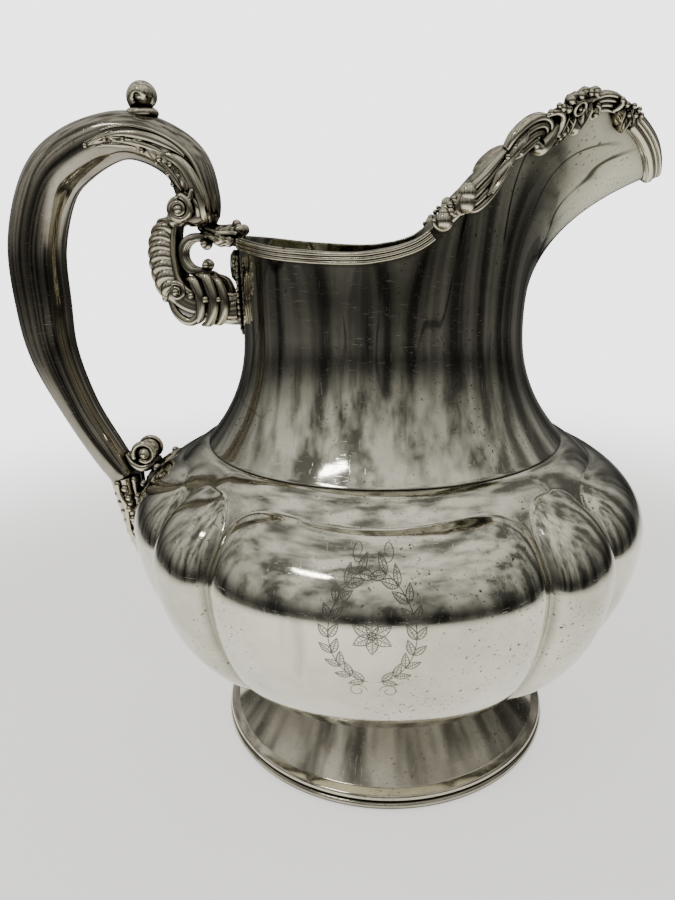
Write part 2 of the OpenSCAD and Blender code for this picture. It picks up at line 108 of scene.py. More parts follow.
def spline(points, t):
    """A smooth curve through points, at t from 0 to len(points) - 1."""
    p = np.asarray(points, float)
    last = len(p) - 1
    t = np.asarray(t, float)
    i = np.clip(np.floor(t).astype(int), 0, last - 1)
    f = (t - i)[..., None]
    b, c = p[i], p[i + 1]
    a = np.where((i > 0)[..., None], p[np.maximum(i - 1, 0)], 2 * b - c)
    d = np.where((i + 2 <= last)[..., None], p[np.minimum(i + 2, last)], 2 * c - b)
    return b + f / 2 * (c - a + f * (2 * a - 5 * b + 4 * c - d + f * (3 * (b - c) + d - a)))


def along(points, count):
    return spline(points, np.linspace(0, len(points) - 1, count))


def along_value(values, count):
    """A value that changes smoothly along a path, at count places."""
    return along(np.array(values, float)[:, None], count)[:, 0]


# ---------------------------------------------------------------- meshes
def make_piece(name, parts, material, replaces=(), mirror=False):
    """One piece from a list of (verts in mm, faces)."""
    verts, faces, base = [], [], 0
    for v, f in parts:
        v = np.array(v, float).reshape(-1, 3)
        if mirror:
            v = v * arr(1, -1, 1)
            f = [tuple(reversed(q)) for q in f]
        verts.append(v)
        faces += [tuple(int(i) + base for i in q) for q in f]
        base += len(v)
    mesh = bpy.data.meshes.new(name)
    mesh.from_pydata((np.vstack(verts) * MM).tolist(), [], faces)
    mesh.validate()
    mesh.polygons.foreach_set("use_smooth", [True] * len(mesh.polygons))
    obj = bpy.data.objects.new(name, mesh)
    bpy.context.scene.collection.objects.link(obj)
    mesh.materials.append(material)
    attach(obj, "root")
    if replaces:
        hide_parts(*replaces)
    return obj


def grid(rows, wrap_u=False, wrap_v=True, caps=True):
    """Faces over rows[i][j]; v (j) wraps round, u (i) may too. Caps close the two open ends."""
    p = np.asarray(rows, float)
    m, n = p.shape[:2]
    faces = []
    for i in range(m if wrap_u else m - 1):
        k = (i + 1) % m
        for j in range(n if wrap_v else n - 1):
            q = (j + 1) % n
            faces.append((i * n + j, k * n + j, k * n + q, i * n + q))
    verts = p.reshape(-1, 3)
    if caps and not wrap_u and wrap_v:
        lo, hi = len(verts), len(verts) + 1
        verts = np.vstack([verts, p[0].mean(0), p[-1].mean(0)])
        for j in range(n):
            q = (j + 1) % n
            faces.append((lo, j, q))
            faces.append((hi, (m - 1) * n + q, (m - 1) * n + j))
    return verts, faces


def outward(part):
    """Turns a closed part's faces so that they look outward."""
    v, f = part
    v = np.asarray(v, float)
    volume = 0.0
    for q in f:
        for k in range(1, len(q) - 1):
            volume += np.dot(v[q[0]], np.cross(v[q[k]], v[q[k + 1]]))
    return (v, [tuple(reversed(q)) for q in f]) if volume < 0 else (v, f)


def frames(path, normals=None):
    """Tangents, normals and binormals along a path. normals, if given, guide the frame."""
    p = np.asarray(path, float)
    t = unit(np.gradient(p, axis=0))
    if normals is None:
        n0 = unit(np.cross(t[0], arr(0.3, 1, 0.2)))
        ns = [n0]
        for k in range(1, len(p)):
            n = ns[-1] - t[k] * np.dot(ns[-1], t[k])
            ns.append(unit(n))
        n = np.array(ns)
    else:
        n = np.broadcast_to(np.asarray(normals, float), p.shape)
        n = unit(n - t * np.sum(n * t, axis=1, keepdims=True))
    return t, n, np.cross(t, n)


ROUND_END = 3


def tube(path, radius, sides=14, normals=None, flat=1.0):
    """A tube with rounded ends. radius may vary; flat scales it across the binormal."""
    p = np.asarray(path, float)
    r = np.broadcast_to(np.asarray(radius, float), (len(p),)).copy()
    t, n, b = frames(p, normals)
    rows = []
    a = np.linspace(0, 2 * math.pi, sides, endpoint=False)

    def ring(c, nn, bb, rr):
        return c + rr * (np.outer(np.cos(a), nn) + flat * np.outer(np.sin(a), bb))

    for k in range(ROUND_END, 0, -1):
        w = k / (ROUND_END + 0.4) * math.pi / 2
        rows.append(ring(p[0] - t[0] * r[0] * math.sin(w), n[0], b[0], r[0] * math.cos(w)))
    for k in range(len(p)):
        rows.append(ring(p[k], n[k], b[k], r[k]))
    for k in range(1, ROUND_END + 1):
        w = k / (ROUND_END + 0.4) * math.pi / 2
        rows.append(ring(p[-1] + t[-1] * r[-1] * math.sin(w), n[-1], b[-1], r[-1] * math.cos(w)))
    return outward(grid(rows))


def ball(centre, radius, squash=(1, 1, 1), n=14):
    rows = []
    for i in range(1, n):
        w = math.pi * i / n
        a = np.linspace(0, 2 * math.pi, 2 * n, endpoint=False)
        across = np.sin(w)
        rows.append(np.stack([across * np.cos(a), across * np.sin(a), np.full(a.shape, np.cos(w))], 1))
    v, f = grid(rows)
    v[-2], v[-1] = arr(0, 0, 1), arr(0, 0, -1)
    return outward((v * radius * arr(*squash) + np.asarray(centre, float), f))


def lathe(profile, n=256, closed=True):
    """Turns (radius, height) points round Z."""
    a = np.linspace(0, 2 * math.pi, n, endpoint=False)
    rows = [np.stack([r * np.cos(a), r * np.sin(a), np.full(n, z)], 1) for r, z in profile]
    return outward(grid(rows, wrap_u=closed, caps=not closed))


# ---------------------------------------------------------------- the neck's surface
REAR_SHARE = REAR_RISE / SPOUT_RISE
LIP_SHARE = LIP_RISE / SPOUT_RISE
RIM_HALF = np.array([
    [180, -1.00, 0.00, REAR_SHARE],
    [154, -0.89, 0.46, 0.8 * REAR_SHARE],
    [127, -0.58, 0.82, 0.3 * REAR_SHARE],
    [100, -0.12, 0.98, 0],
    [80, 0.10, 0.97, 0.06],
    [68, 0.22, 0.94, 0.24],
    [57, 0.34, 0.88, 0.495],
    [45, 0.47, 0.79, 0.79],
    [34, 0.60, 0.68, 0.955],
    [24, 0.72, 0.57, 1],
    [15, 0.84, 0.43, 0.92],
    [7, 0.945, 0.25, 0.73],
    [0, 1.00, 0.00, LIP_SHARE],
])
RIM_END = len(RIM_HALF) - 1
MIRROR = arr(-1, 1, -1, 1)
RIM_ROWS = np.vstack([RIM_HALF[1] * MIRROR + arr(360, 0, 0, 0), RIM_HALF, RIM_HALF[-2] * MIRROR])


def neck_at(u, v):
    """Outer surface of the neck on the right: v 0 at the skirt, 1 at the waist, 2 at the rim."""
    u, v = np.broadcast_arrays(np.asarray(u, float), np.asarray(v, float))
    row = spline(RIM_ROWS, u + 1)
    a = np.radians(-row[..., 0])
    low_r = WAIST_R + (SKIRT_R - WAIST_R) * np.maximum(1 - v, 0) ** 2.3
    low = np.stack([low_r * np.cos(a), low_r * np.sin(a), mix(JOINT_Z, WAIST_Z, v)], -1)
    t = np.maximum(v - 1, 0)[..., None]
    foot = np.stack([WAIST_R * np.cos(a), WAIST_R * np.sin(a), np.full(a.shape, WAIST_Z)], -1)
    x = np.where(row[..., 1] < 0, row[..., 1] * WAIST_R, row[..., 1] * REACH)
    top = np.stack([x, -row[..., 2] * WAIST_R, DIP_Z + row[..., 3] * SPOUT_RISE], -1)
    knee = foot.copy()
    knee[..., 2] = mix(WAIST_Z, top[..., 2], 0.7)
    high = (1 - t) ** 2 * foot + 2 * t * (1 - t) * knee + t * t * top
    return np.where((v <= 1)[..., None], low, high)


def neck_out(u, v):
    e = 0.02
    w = np.minimum(v, 2 - e)
    return unit(np.cross(neck_at(u + e, w) - neck_at(u - e, w), neck_at(u, w + e) - neck_at(u, w)))


def neck_up(u):
    return unit(neck_at(u, 2.0) - neck_at(u, 1.96))


def beside_rim(u, drop, out):
    """Point beside the rim at u: drop down the neck's surface and out from the metal."""
    u, drop, out = np.broadcast_arrays(*(np.asarray(x, float) for x in (u, drop, out)))
    slope = np.linalg.norm(neck_at(u, 2.0) - neck_at(u, 1.8), axis=-1)
    v = 2 - np.maximum(drop, 0) / slope * 0.2
    above = np.maximum(-drop, 0)[..., None]
    return neck_at(u, v) + neck_out(u, v) * (out + SEAT)[..., None] + neck_up(u) * above


def rim_frame(u, drop=0.0):
    """Outward, up and forward directions beside the rim."""
    o = neck_out(np.asarray(u, float), 2 - max(drop, 0) * 0.02)
    up = neck_up(u)
    return o, up, unit(np.cross(up, o))


# ---------------------------------------------------------------- the belly's surface
def bowl_r(z, r, power):
    z = np.asarray(z, float)
    edge = SKIRT_R - WALL - SOLDER
    s = np.clip((BELLY_MID_Z - z) / (BELLY_MID_Z - BELLY_Z), 0, 1)
    low = FOOT_TOP_R + (r - FOOT_TOP_R) * (1 - s ** 1.9) ** (1 / 1.9)
    s = np.clip((z - BELLY_MID_Z) / (JOINT_Z - BELLY_MID_Z), 0, 1)
    high = edge + (r - edge) * (1 - s ** power) ** (1 / power)
    return np.where(z < BELLY_MID_Z, low, high)


def lobe_bump(angle, z):
    a = np.abs((np.asarray(angle, float) + 405) % 90 - 45)
    wide = a < WIDE_LOBE / 2
    side = np.where(wide, a / (WIDE_LOBE / 2), (45 - a) / ((90 - WIDE_LOBE) / 2))
    top = np.where(wide, LOBE_TOP_Z + CORNER_RISE * side * side, NARROW_TOP_Z)
    rise = np.clip((z - BELLY_MID_Z) / (top - BELLY_MID_Z), 0, 1)
    raw = 1 - side ** np.where(wide, 5, 2.5) - rise ** 4
    return (0.5 * (raw + np.sqrt(raw * raw + 0.0012))) ** 0.6


def belly_at(angle, z, out=0.0):
    """Point on the belly's outer surface, out from it."""
    z = np.asarray(z, float)
    e = 0.2
    lo, hi = np.maximum(z - e, BELLY_Z), np.minimum(z + e, JOINT_Z)
    dr = bowl_r(hi, BELLY_R, 1.7) - bowl_r(lo, BELLY_R, 1.7)
    n = unit(np.stack(np.broadcast_arrays(hi - lo, -dr), -1))
    r = mix(bowl_r(z, BELLY_R - LOBE_DEPTH, 1.4), bowl_r(z, BELLY_R, 1.7), lobe_bump(angle, z))
    r = r + out * n[..., 0]
    a = np.radians(angle)
    return np.stack(np.broadcast_arrays(r * np.cos(a), r * np.sin(a), z + out * n[..., 1]), -1)


def belly_ring_z(t):
    low = mix(BELLY_MID_Z, BELLY_Z, np.cos(np.pi / 2 * np.minimum(t, 1)) ** (2 / 1.9))
    high = mix(BELLY_MID_Z, JOINT_Z, np.abs(np.sin(np.pi / 2 * np.maximum(t - 1, 0))) ** (2 / 1.7))
    return np.where(t < 1, low, high)


# ---------------------------------------------------------------- the handle's path
HANDLE_LOW_X = float(bowl_r(HANDLE_LOW_Z, BELLY_R, 1.7)) + LEAF_T + 0.7 * GRIP_D
SHAPE = np.array([
    [0.00, 0.755, 0.36, 0.38], [0.00, 0.775, 0.66, 0.60], [0.00, 0.835, 0.76, 0.70],
    [0.06, 0.925, 0.80, 0.78], [0.24, 0.985, 0.79, 0.80], [0.44, 1.000, 0.80, 0.84],
    [0.69, 0.955, 0.93, 0.92], [0.865, 0.875, 0.97, 0.98], [0.985, 0.715, 1.00, 1.00],
    [1.00, 0.545, 0.98, 1.00], [0.97, 0.395, 0.86, 0.92], [0.77, 0.226, 0.68, 0.80],
    [0.42, 0.085, 0.64, 0.74], [0.18, 0.022, 0.60, 0.68], [0.09, 0.00, 0.57, 0.64],
])


def handle_row(s):
    inner = mix(HANDLE_LOW_X, HANDLE_IN_X, min(max(s[1] / 0.72, 0), 1))
    top = HANDLE_TOP_Z - 0.74 * GRIP_D
    return [-mix(inner, HANDLE_REACH - GRIP_D, s[0]), mix(HANDLE_LOW_Z, top, s[1]),
            s[2] * GRIP_D, s[3] * GRIP_W]


HANDLE_ROWS = np.array([handle_row(s) for s in SHAPE])
VOLUTE = arr(-HANDLE_IN_X - 4.2, -0.74 * GRIP_W - 1.5, HANDLE_ROWS[1][1] + 3)
BRACKET_Z = JOINT_Z + 43


def handle_skin(t, a, out=0.0):
    """Point on the handle: t along it, a degrees round its section, out from the metal."""
    t, a, out = np.broadcast_arrays(*(np.asarray(x, float) for x in (t, a, out)))
    e = 0.05
    row = spline(HANDLE_ROWS, t)
    lo, hi = spline(HANDLE_ROWS, t - e), spline(HANDLE_ROWS, t + e)
    run = unit(hi[..., :2] - lo[..., :2])
    d, w, a = row[..., 2] + out, row[..., 3] + out, np.radians(a)
    return np.stack([row[..., 0] + run[..., 1] * d * np.cos(a), w * np.sin(a),
                     row[..., 1] - run[..., 0] * d * np.cos(a)], -1)


# ---------------------------------------------------------------- materials
def node(tree, kind, **sets):
    n = tree.nodes.new(kind)
    for k, v in sets.items():
        if k in n.inputs.keys():
            n.inputs[k].default_value = v
        else:
            setattr(n, k, v)
    return n


def silver(name, base, dark, rough, tarnish, recess, bump, scratch, speck, band=(0, 1, 0), drips_and_painted_reflection=0.0):
    """Sterling silver: base colour, tarnish that fills recesses and lies in soft clouds,
    dark specks, fine scratches that break the shine, and a faint unevenness."""
    m = bpy.data.materials.new(name)
    m.use_nodes = True
    tr = m.node_tree
    tr.nodes.clear()
    ln = tr.links.new
    out = node(tr, "ShaderNodeOutputMaterial")
    sh = node(tr, "ShaderNodeBsdfPrincipled", Metallic=1.0)
    ln(sh.outputs[0], out.inputs[0])
    tc = node(tr, "ShaderNodeTexCoord")

    def noise(scale, detail=4.0, roughness=0.55, stretch=None, distortion=0.0):
        n = node(tr, "ShaderNodeTexNoise", Scale=scale, Detail=detail, Roughness=roughness,
                 Distortion=distortion)
        if stretch:
            mp = node(tr, "ShaderNodeMapping")
            mp.inputs["Scale"].default_value = stretch
            ln(tc.outputs["Object"], mp.inputs[0])
            ln(mp.outputs[0], n.inputs["Vector"])
        else:
            ln(tc.outputs["Object"], n.inputs["Vector"])
        return n.outputs[0]

    def ramp(value, lo, hi, a=0.0, b=1.0):
        r = node(tr, "ShaderNodeMapRange")
        r.inputs[1].default_value, r.inputs[2].default_value = lo, hi
        r.inputs[3].default_value, r.inputs[4].default_value = a, b
        ln(value, r.inputs[0])
        return r.outputs[0]

    def math_node(op, a, b):
        n = node(tr, "ShaderNodeMath", operation=op)
        for k, x in enumerate((a, b)):
            if isinstance(x, (int, float)):
                n.inputs[k].default_value = x
            else:
                ln(x, n.inputs[k])
        return n.outputs[0]

    def blend(fac, a, b):
        n = node(tr, "ShaderNodeMix", data_type="RGBA")
        for x, k in ((fac, 0), (a, 6), (b, 7)):
            if isinstance(x, (int, float, tuple)):
                n.inputs[k].default_value = x if not isinstance(x, tuple) else (*x, 1)
            else:
                ln(x, n.inputs[k])
        return n.outputs[2]

    cloud = ramp(noise(26, 6, 0.62), 0.38, 0.70)
    streak = ramp(noise(60, 5, 0.6, (1, 1, 0.16), 0.6), 0.52, 0.74)
    spots = ramp(noise(950, 2, 0.5), 0.63, 0.72)
    spot_zone = ramp(noise(30, 3, 0.6), 0.43, 0.58)
    speckle = math_node("MULTIPLY", math_node("MULTIPLY", spots, spot_zone), speck)
    ao = node(tr, "ShaderNodeAmbientOcclusion", Distance=0.0042)
    ao.samples = 6
    hollow = ramp(ao.outputs["AO"], 0.94, 0.60, 0.0, 1.0)
    hollow = math_node("MULTIPLY", hollow, recess)
    film = math_node("MULTIPLY", math_node("MAXIMUM", cloud, streak), tarnish)
    col = blend(film, base, tuple(mix(np.array(base), np.array(dark), 0.62)))
    # heavier grey-brown colour over a band of heights, with dark runs down it: on the neck partly tarnish
    # and partly a painted reflection of dark streaks, on the foot only darker over its upper part
    height_z = node(tr, "ShaderNodeSeparateXYZ")
    ln(tc.outputs["Object"], height_z.inputs[0])
    rise = ramp(height_z.outputs[2], band[0], band[1])
    runs_and_reflection = ramp(noise(17, 5, 0.62, (1, 1, 0.3), 0.8), 0.32, 0.62, 0.45 * band[2], band[2])
    cover = math_node("MULTIPLY", rise, runs_and_reflection)
    col = blend(cover, col, tuple(mix(np.array(base), np.array(dark), 0.72) * arr(0.97, 1.0, 0.94)))
    # thin dark lines down the band: partly tarnish, partly a painted reflection of dark streaks
    if drips_and_painted_reflection:
        line = math_node("ABSOLUTE", math_node("SUBTRACT", noise(15, 2.5, 0.5, (1, 1, 0.3), 1.5), 0.5), 0)
        line = ramp(line, 0.011, 0.004)
        line = math_node("MULTIPLY", line, ramp(noise(29, 2, 0.5), 0.46, 0.54))
        line = math_node("MULTIPLY", math_node("MULTIPLY", line, rise), drips_and_painted_reflection)
        col = blend(line, col, tuple(np.array(dark) * 0.35))
    col = blend(speckle, col, tuple(np.array(dark) * 0.6))
    col = blend(hollow, col, tuple(np.array(dark) * 0.32))
    ln(col, sh.inputs["Base Color"])
    # fine scratches in two directions
    s1 = noise(330, 2, 0.4, (1.0, 1.0, 7.0), 0.8)
    s2 = noise(300, 2, 0.4, (6.0, 1.0, 0.8), 0.8)
    lines = math_node("MAXIMUM", ramp(s1, 0.66, 0.74), ramp(s2, 0.68, 0.75))
    rgh = math_node("ADD", ramp(noise(48, 4, 0.6), 0.3, 0.75, rough * 0.7, rough * 1.7),
                    math_node("MULTIPLY", lines, 0.10))
    rgh = math_node("ADD", rgh, math_node("MULTIPLY", math_node("MAXIMUM", hollow, speckle), 0.25))
    ln(rgh, sh.inputs["Roughness"])
    height = math_node("ADD", math_node("MULTIPLY", noise(55, 3, 0.5), bump),
                       math_node("MULTIPLY", lines, -scratch))
    height = math_node("ADD", height, math_node("MULTIPLY", noise(420, 3, 0.5), bump * 0.06))
    bp = node(tr, "ShaderNodeBump", Strength=1.0, Distance=0.001)
    ln(height, bp.inputs["Height"])
    ln(bp.outputs[0], sh.inputs["Normal"])
    return m


# the band and drip lines darken the neck: partly tarnish, partly a painted reflection of dark surroundings
SHEET = silver("sheet_silver", base=(0.76, 0.735, 0.61), dark=(0.12, 0.108, 0.07),
               rough=0.07, tarnish=0.72, recess=0.9, bump=0.11, scratch=0.006, speck=0.95,
               band=(0.104, 0.180, 0.80), drips_and_painted_reflection=0.95)
FOOT = silver("foot_silver", base=(0.62, 0.585, 0.47), dark=(0.07, 0.052, 0.034),
              rough=0.09, tarnish=0.9, recess=0.95, bump=0.10, scratch=0.006, speck=0.6,
              band=(0.005, 0.014, 0.62))
# darker base than the neck's silver: partly tarnish, partly a painted reflection of the dark surroundings
# the handle faces
HANDLE_TARNISH_AND_REFLECTION = silver("handle_silver", base=(0.38, 0.35, 0.285), dark=(0.035, 0.027, 0.018),
                rough=0.07, tarnish=0.85, recess=1.0, bump=0.10, scratch=0.006, speck=0.4)
CAST = silver("cast_silver", base=(0.76, 0.70, 0.54), dark=(0.03, 0.024, 0.017),
              rough=0.10, tarnish=0.5, recess=1.0, bump=0.14, scratch=0.004, speck=0.2)
ENGRAVED = silver("engraved_silver", base=(0.20, 0.185, 0.16), dark=(0.03, 0.025, 0.02),
                  rough=0.30, tarnish=0.6, recess=1.0, bump=0.1, scratch=0.004, speck=0.2)


# ---------------------------------------------------------------- foot
EDGE = FOOT_R - FOOT_ROUND
wire = [(EDGE - 4.5, 0.25), (EDGE - 4.2, 0.0), (EDGE - 1.6, 0.0)]
wire += [(EDGE - 1.3 + 1.3 * math.cos(a), 1.3 + 1.3 * math.sin(a))
         for a in np.radians(np.linspace(-80, 80, 12))]
wire += [(EDGE - 1.6, WIRE_H), (EDGE - 4.2, WIRE_H), (EDGE - 4.5, WIRE_H - 0.25)]
make_piece("foot_rim_wire_silver", [lathe(wire, 320)], FOOT, ["foot_rim_wire"])

t = np.linspace(0, 1, 60)[:, None]
edge = arr(FOOT_R - 1, WIRE_H + SOLDER)
top = arr(FOOT_TOP_R, FOOT_H - 2 * (COLLAR_R + SOLDER))
bend = arr(mix(FOOT_R, FOOT_TOP_R, 0.56), mix(WIRE_H, FOOT_H, 0.38))
curve = (1 - t) ** 2 * edge + 2 * t * (1 - t) * bend + t * t * top
roll = arr(FOOT_R - 2.2, WIRE_H + SOLDER + 1.3)
bead = [(roll[0] + 1.3 * math.cos(a), roll[1] + 1.3 * math.sin(a))
        for a in np.radians(np.linspace(-90, 62, 16))]
outer = [tuple(p) for p in curve if p[1] > roll[1] + 1.25]
inner = [(p[0] - WALL, p[1]) for p in reversed(outer)]
inner += [(roll[0] - WALL, roll[1] + 0.2), (roll[0] - WALL, roll[1] - 1.1)]
make_piece("foot_shell_silver", [lathe(bead + outer + inner, 360)], FOOT, ["foot_shell"])

cz, cr = FOOT_H - SOLDER - COLLAR_R, FOOT_TOP_R - WALL / 2
ring = [(cr + COLLAR_R * math.cos(a), cz + COLLAR_R * math.sin(a))
        for a in np.linspace(0, 2 * math.pi, 24, endpoint=False)]
make_piece("foot_collar_silver", [lathe(ring, 320)], FOOT, ["foot_collar"])

# ---------------------------------------------------------------- belly
STEPS = 600
angles = np.arange(STEPS) * 360 / STEPS
rings = [belly_at(angles, z) for z in belly_ring_z(np.linspace(0, 2, 190))]
collar_top = JOINT_Z + 5
cr_top = -float(neck_at(0, 5 / 38)[0]) - WALL - SOLDER


def circle(r, z):
    a = np.radians(angles)
    return np.stack([r * np.cos(a), r * np.sin(a), np.full(STEPS, z)], 1)


rings += [circle(cr_top, collar_top), circle(cr_top - WALL, collar_top)]
rings += [belly_at(angles, z, -WALL) for z in belly_ring_z(np.linspace(2, 0, 110))]
make_piece("belly_silver", [outward(grid(rings))], SHEET, ["belly_shell"])

# ---------------------------------------------------------------- neck
SUB = 26
us = np.arange(RIM_END * SUB + 1) / SUB


def neck_ring(v, inset):
    a = np.radians(-spline(RIM_ROWS, us + 1)[..., 0])
    if v < 1:
        right = neck_at(us, v) - inset * np.stack([np.cos(a), np.sin(a), 0 * a], 1)
    else:
        right = neck_at(us, v) - inset * neck_out(us, v)
    return np.vstack([right, (right * arr(1, -1, 1))[-2:0:-1]])


rings = [neck_ring(v, 0.28 * (1 - v / 0.012) ** 2 if v < 0.012 else 0) for v in np.linspace(0, 0.012, 4)]
rings += [neck_ring(v, 0) for v in np.linspace(0.03, 2, 84)]
lip = neck_ring(2, 0)
back = neck_ring(2, WALL)
up = unit(neck_ring(2, 0) - neck_ring(1.96, 0))
for a in np.radians([30, 60, 90, 120, 150]):
    rings.append(mix(lip, back, 0.5 - 0.5 * math.cos(a)) + up * 0.42 * math.sin(a))
rings += [neck_ring(v, WALL) for v in np.linspace(2, 0, 70)]
make_piece("neck_silver", [outward(grid(rings, wrap_u=True))], SHEET, ["neck_shell"])


# ---------------------------------------------------------------- castings: helpers
def band(path, normals, widths, reeds, count=90, thick=0.35, high=1.0, per=9, back=-SEAT - 0.1):
    """A strip of parallel reeds along path; widths are half widths along it."""
    p = along(path, count)
    n = along(normals, count)
    w = along_value(widths, count)
    _, n, b = frames(p, n)
    ks = np.linspace(-1, 1, reeds * per + 1)
    f = 2 * ((ks + 1) / 2 * reeds % 1) - 1
    f[-1] = 1
    bump = np.sqrt(np.maximum(1 - np.abs(f) ** 2.4, 0))
    rows = []
    for i in range(count):
        up = (thick + bump * high * w[i] / reeds)
        front = p[i] + np.outer(ks * w[i], b[i]) + np.outer(up, n[i])
        rows.append(np.vstack([front, p[i] + b[i] * w[i] * 0.96 + n[i] * back,
                               p[i] - b[i] * w[i] * 0.96 + n[i] * back]))
    return outward(grid(rows))


def rim_path(points, out=0.0):
    """Positions and outward normals for (u, drop) points beside the rim."""
    q = np.array(points, float)
    dense = along(q, 12 * (len(q) - 1) + 1)
    p = beside_rim(dense[:, 0], dense[:, 1], out)
    return p, neck_out(dense[:, 0], np.full(len(dense), 1.97))


def rim_band(points, widths, reeds, **more):
    p, n = rim_path(points)
    return band(p, n, widths, reeds, **more)


def rim_tube(points, radii, out=0.6, sides=12):
    p, n = rim_path(points, out)
    return tube(p, along_value(radii, len(p)), sides, n)


def rim_ball(u, drop, r, out=None, squash=(1, 1, 1)):
    return ball(beside_rim(u, drop, r * 0.7 if out is None else out), r, squash)


def rim_curl(u, drop, big, small, r_from, r_to, start, turns, out=0.8, lift=0.9, bead=None):
    """A spiral on the rim about (u, drop): radius big to small, the tube's radius r_from to r_to."""
    c = beside_rim(u, drop, 0)
    o, up, f = (x.reshape(3) for x in rim_frame(np.array(u), drop))
    s = np.linspace(0, 1, 48)
    a = np.radians(start) + turns * 2 * math.pi * s
    r = big * (small / big) ** s
    p = c + np.outer(r * np.cos(a), f) + np.outer(r * np.sin(a), up) + np.outer(out + lift * s, o)
    parts = [tube(p, mix(r_from, r_to, s), 12, np.tile(o, (len(s), 1)))]
    if bead:
        parts.append(ball(c + o * (out + lift + bead * 0.2), bead))
    return parts


def leaf(path, normals, widths, veins=4, count=60, thick=0.35, high=1.1, lobes=0, notch=0.25, across=25,
         back=-0.3, groove=0.35):
    """A leaf with a midrib, side veins and, if lobes is set, a notched edge."""
    p = along(path, count)
    n = along(normals, count)
    _, n, b = frames(p, n)
    s = np.linspace(0, 1, count)
    w = np.maximum(along_value(widths, count), 0.05)
    if lobes:
        w = w * (1 - notch * np.abs(np.cos(math.pi * lobes * s)) ** 3)
    ks = np.linspace(-1, 1, across)
    rows = []
    for i in range(count):
        k = np.abs(ks)
        swell = (1 - k ** 2.2) * 0.75 + 0.25 * (1 - k ** 8)
        rib = np.exp(-(ks / 0.12) ** 2) * 0.35
        vein = groove * (0.5 + 0.5 * np.cos(2 * math.pi * (veins * s[i] + 1.1 * k)))
        vein = vein * (k > 0.1) * (1 - k ** 6)
        h = thick + high * (swell + rib - vein) * min(1, 4 * s[i] + 0.3, 4 * (1 - s[i]) + 0.3)
        front = p[i] + np.outer(ks * w[i], b[i]) + np.outer(h, n[i])
        rows.append(np.vstack([front, p[i] + b[i] * w[i] * 0.95 + n[i] * back,
                               p[i] - b[i] * w[i] * 0.95 + n[i] * back]))
    return outward(grid(rows))


def rim_leafy(points, widths, **more):
    p, n = rim_path(points, more.pop("out", 0.1))
    return leaf(p, n, widths, **more)


def both(name, parts, material=CAST):
    """The right and the left piece, each in place of the node of its name."""
    for side, mirror in (("_right", False), ("_left", True)):
        make_piece(name + side, parts, material, [name + side], mirror)


def cast(node_name, parts):
    """A cast piece in place of the node of that name."""
    make_piece(node_name + "_silver", parts, CAST, [node_name])


# ---------------------------------------------------------------- rim castings, right side
# a place is (u, drop): u counts along the rows of RIM_HALF, from the handle (0) to the lip (12),
# and drop is how far it lies below the rim, in mm
flat = [(0.03, 1.65), (1.2, 1.65), (2.4, 1.65), (3.5, 1.65), (4.57, 1.65)]
both("rim_reeding", [rim_band(flat, [1.62] * 5, 3, count=420, high=0.95)])

knot = [rim_ball(*bead) for bead in (
    (4.86, 0.2, 2.15, 1.0, (1, 1, 1.15)), (4.83, -1.9, 1.35), (4.99, -2.6, 0.95), (5.08, -3.4, 0.85),
    (5.02, -0.6, 1.3), (5.12, 0.8, 1.25), (5.14, -2.0, 1.0))]
knot += rim_curl(4.86, 0.2, 2.5, 1.5, 0.75, 0.5, 190, 0.9, out=0.9, lift=0.5)
knot += [rim_tube([(4.98, 2.6), (5.1, 1.9), (5.24, 1.6), (5.36, 2.4)], [0.5, 1.0, 1.1, 0.5], 0.9),
         rim_tube([(5.30, -4.0), (5.2, -2.4), (5.18, -0.4), (5.24, 1.6), (5.38, 3.0)],
                  [0.5, 0.8, 0.9, 0.9, 0.6], 1.2),
         rim_ball(5.40, -2.0, 2.35, 1.1, (1, 1, 1.05)), rim_ball(5.42, 0.6, 2.5, 0.9, (1, 1, 1.2)),
         rim_tube([(5.44, 0.8), (5.52, 2.6), (5.7, 3.6)], [1.8, 1.7, 1.0], 0.7)]
both("rim_knot", knot)

side = [rim_band([(5.48, 1.6), (5.62, 2.6), (5.85, 2.9), (6.1, 2.7), (6.35, 1.0), (6.55, -0.4)],
                 [1.9, 3.4, 3.9, 3.8, 3.1, 2.0], 4, count=130, thick=0.6, high=1.15)]
side += [rim_band([(6.40, -0.6), (6.56, -1.0), (6.8, -0.7), (7.05, 0.4), (7.28, 2.2), (7.44, 4.4),
                   (7.5, 6.6)],
                  [2.6, 4.1, 4.4, 4.1, 3.6, 3.0, 1.9], 4, count=150, thick=0.9, high=1.2)]
side += [rim_leafy([(6.0, 5.0), (6.2, 3.4), (6.4, 0.6), (6.56, -1.8), (6.66, -3.9)],
                   [0.4, 1.5, 1.9, 1.4, 0.3], veins=3, lobes=2, thick=1.7, high=1.2, groove=0.45)]
side += [rim_tube([(6.18, 6.2), (6.36, 4.6), (6.5, 3.2), (6.58, 2.0)], [0.4, 1.0, 0.9, 0.5], 1.6)]
side += [rim_ball(*bead) for bead in ((6.3, -1.4, 0.9, 1.7), (6.42, -2.6, 0.85, 1.7), (6.64, 1.6, 1.0, 2.2),
                                      (6.5, 3.3, 0.75, 1.8))]
# the band's end curls over into a bulb
side += [rim_tube([(7.30, 6.4), (7.42, 7.9), (7.56, 8.2), (7.7, 6.8), (7.76, 4.6)],
                  [1.3, 2.1, 2.3, 1.9, 1.0], 1.3, 16),
         rim_tube([(7.12, -2.9), (7.38, -1.9), (7.62, 0.2), (7.78, 3.0), (7.84, 5.8), (7.74, 8.2)],
                  [0.5, 0.8, 0.9, 0.95, 0.9, 0.6], 1.9)]
both("side_scroll", side)

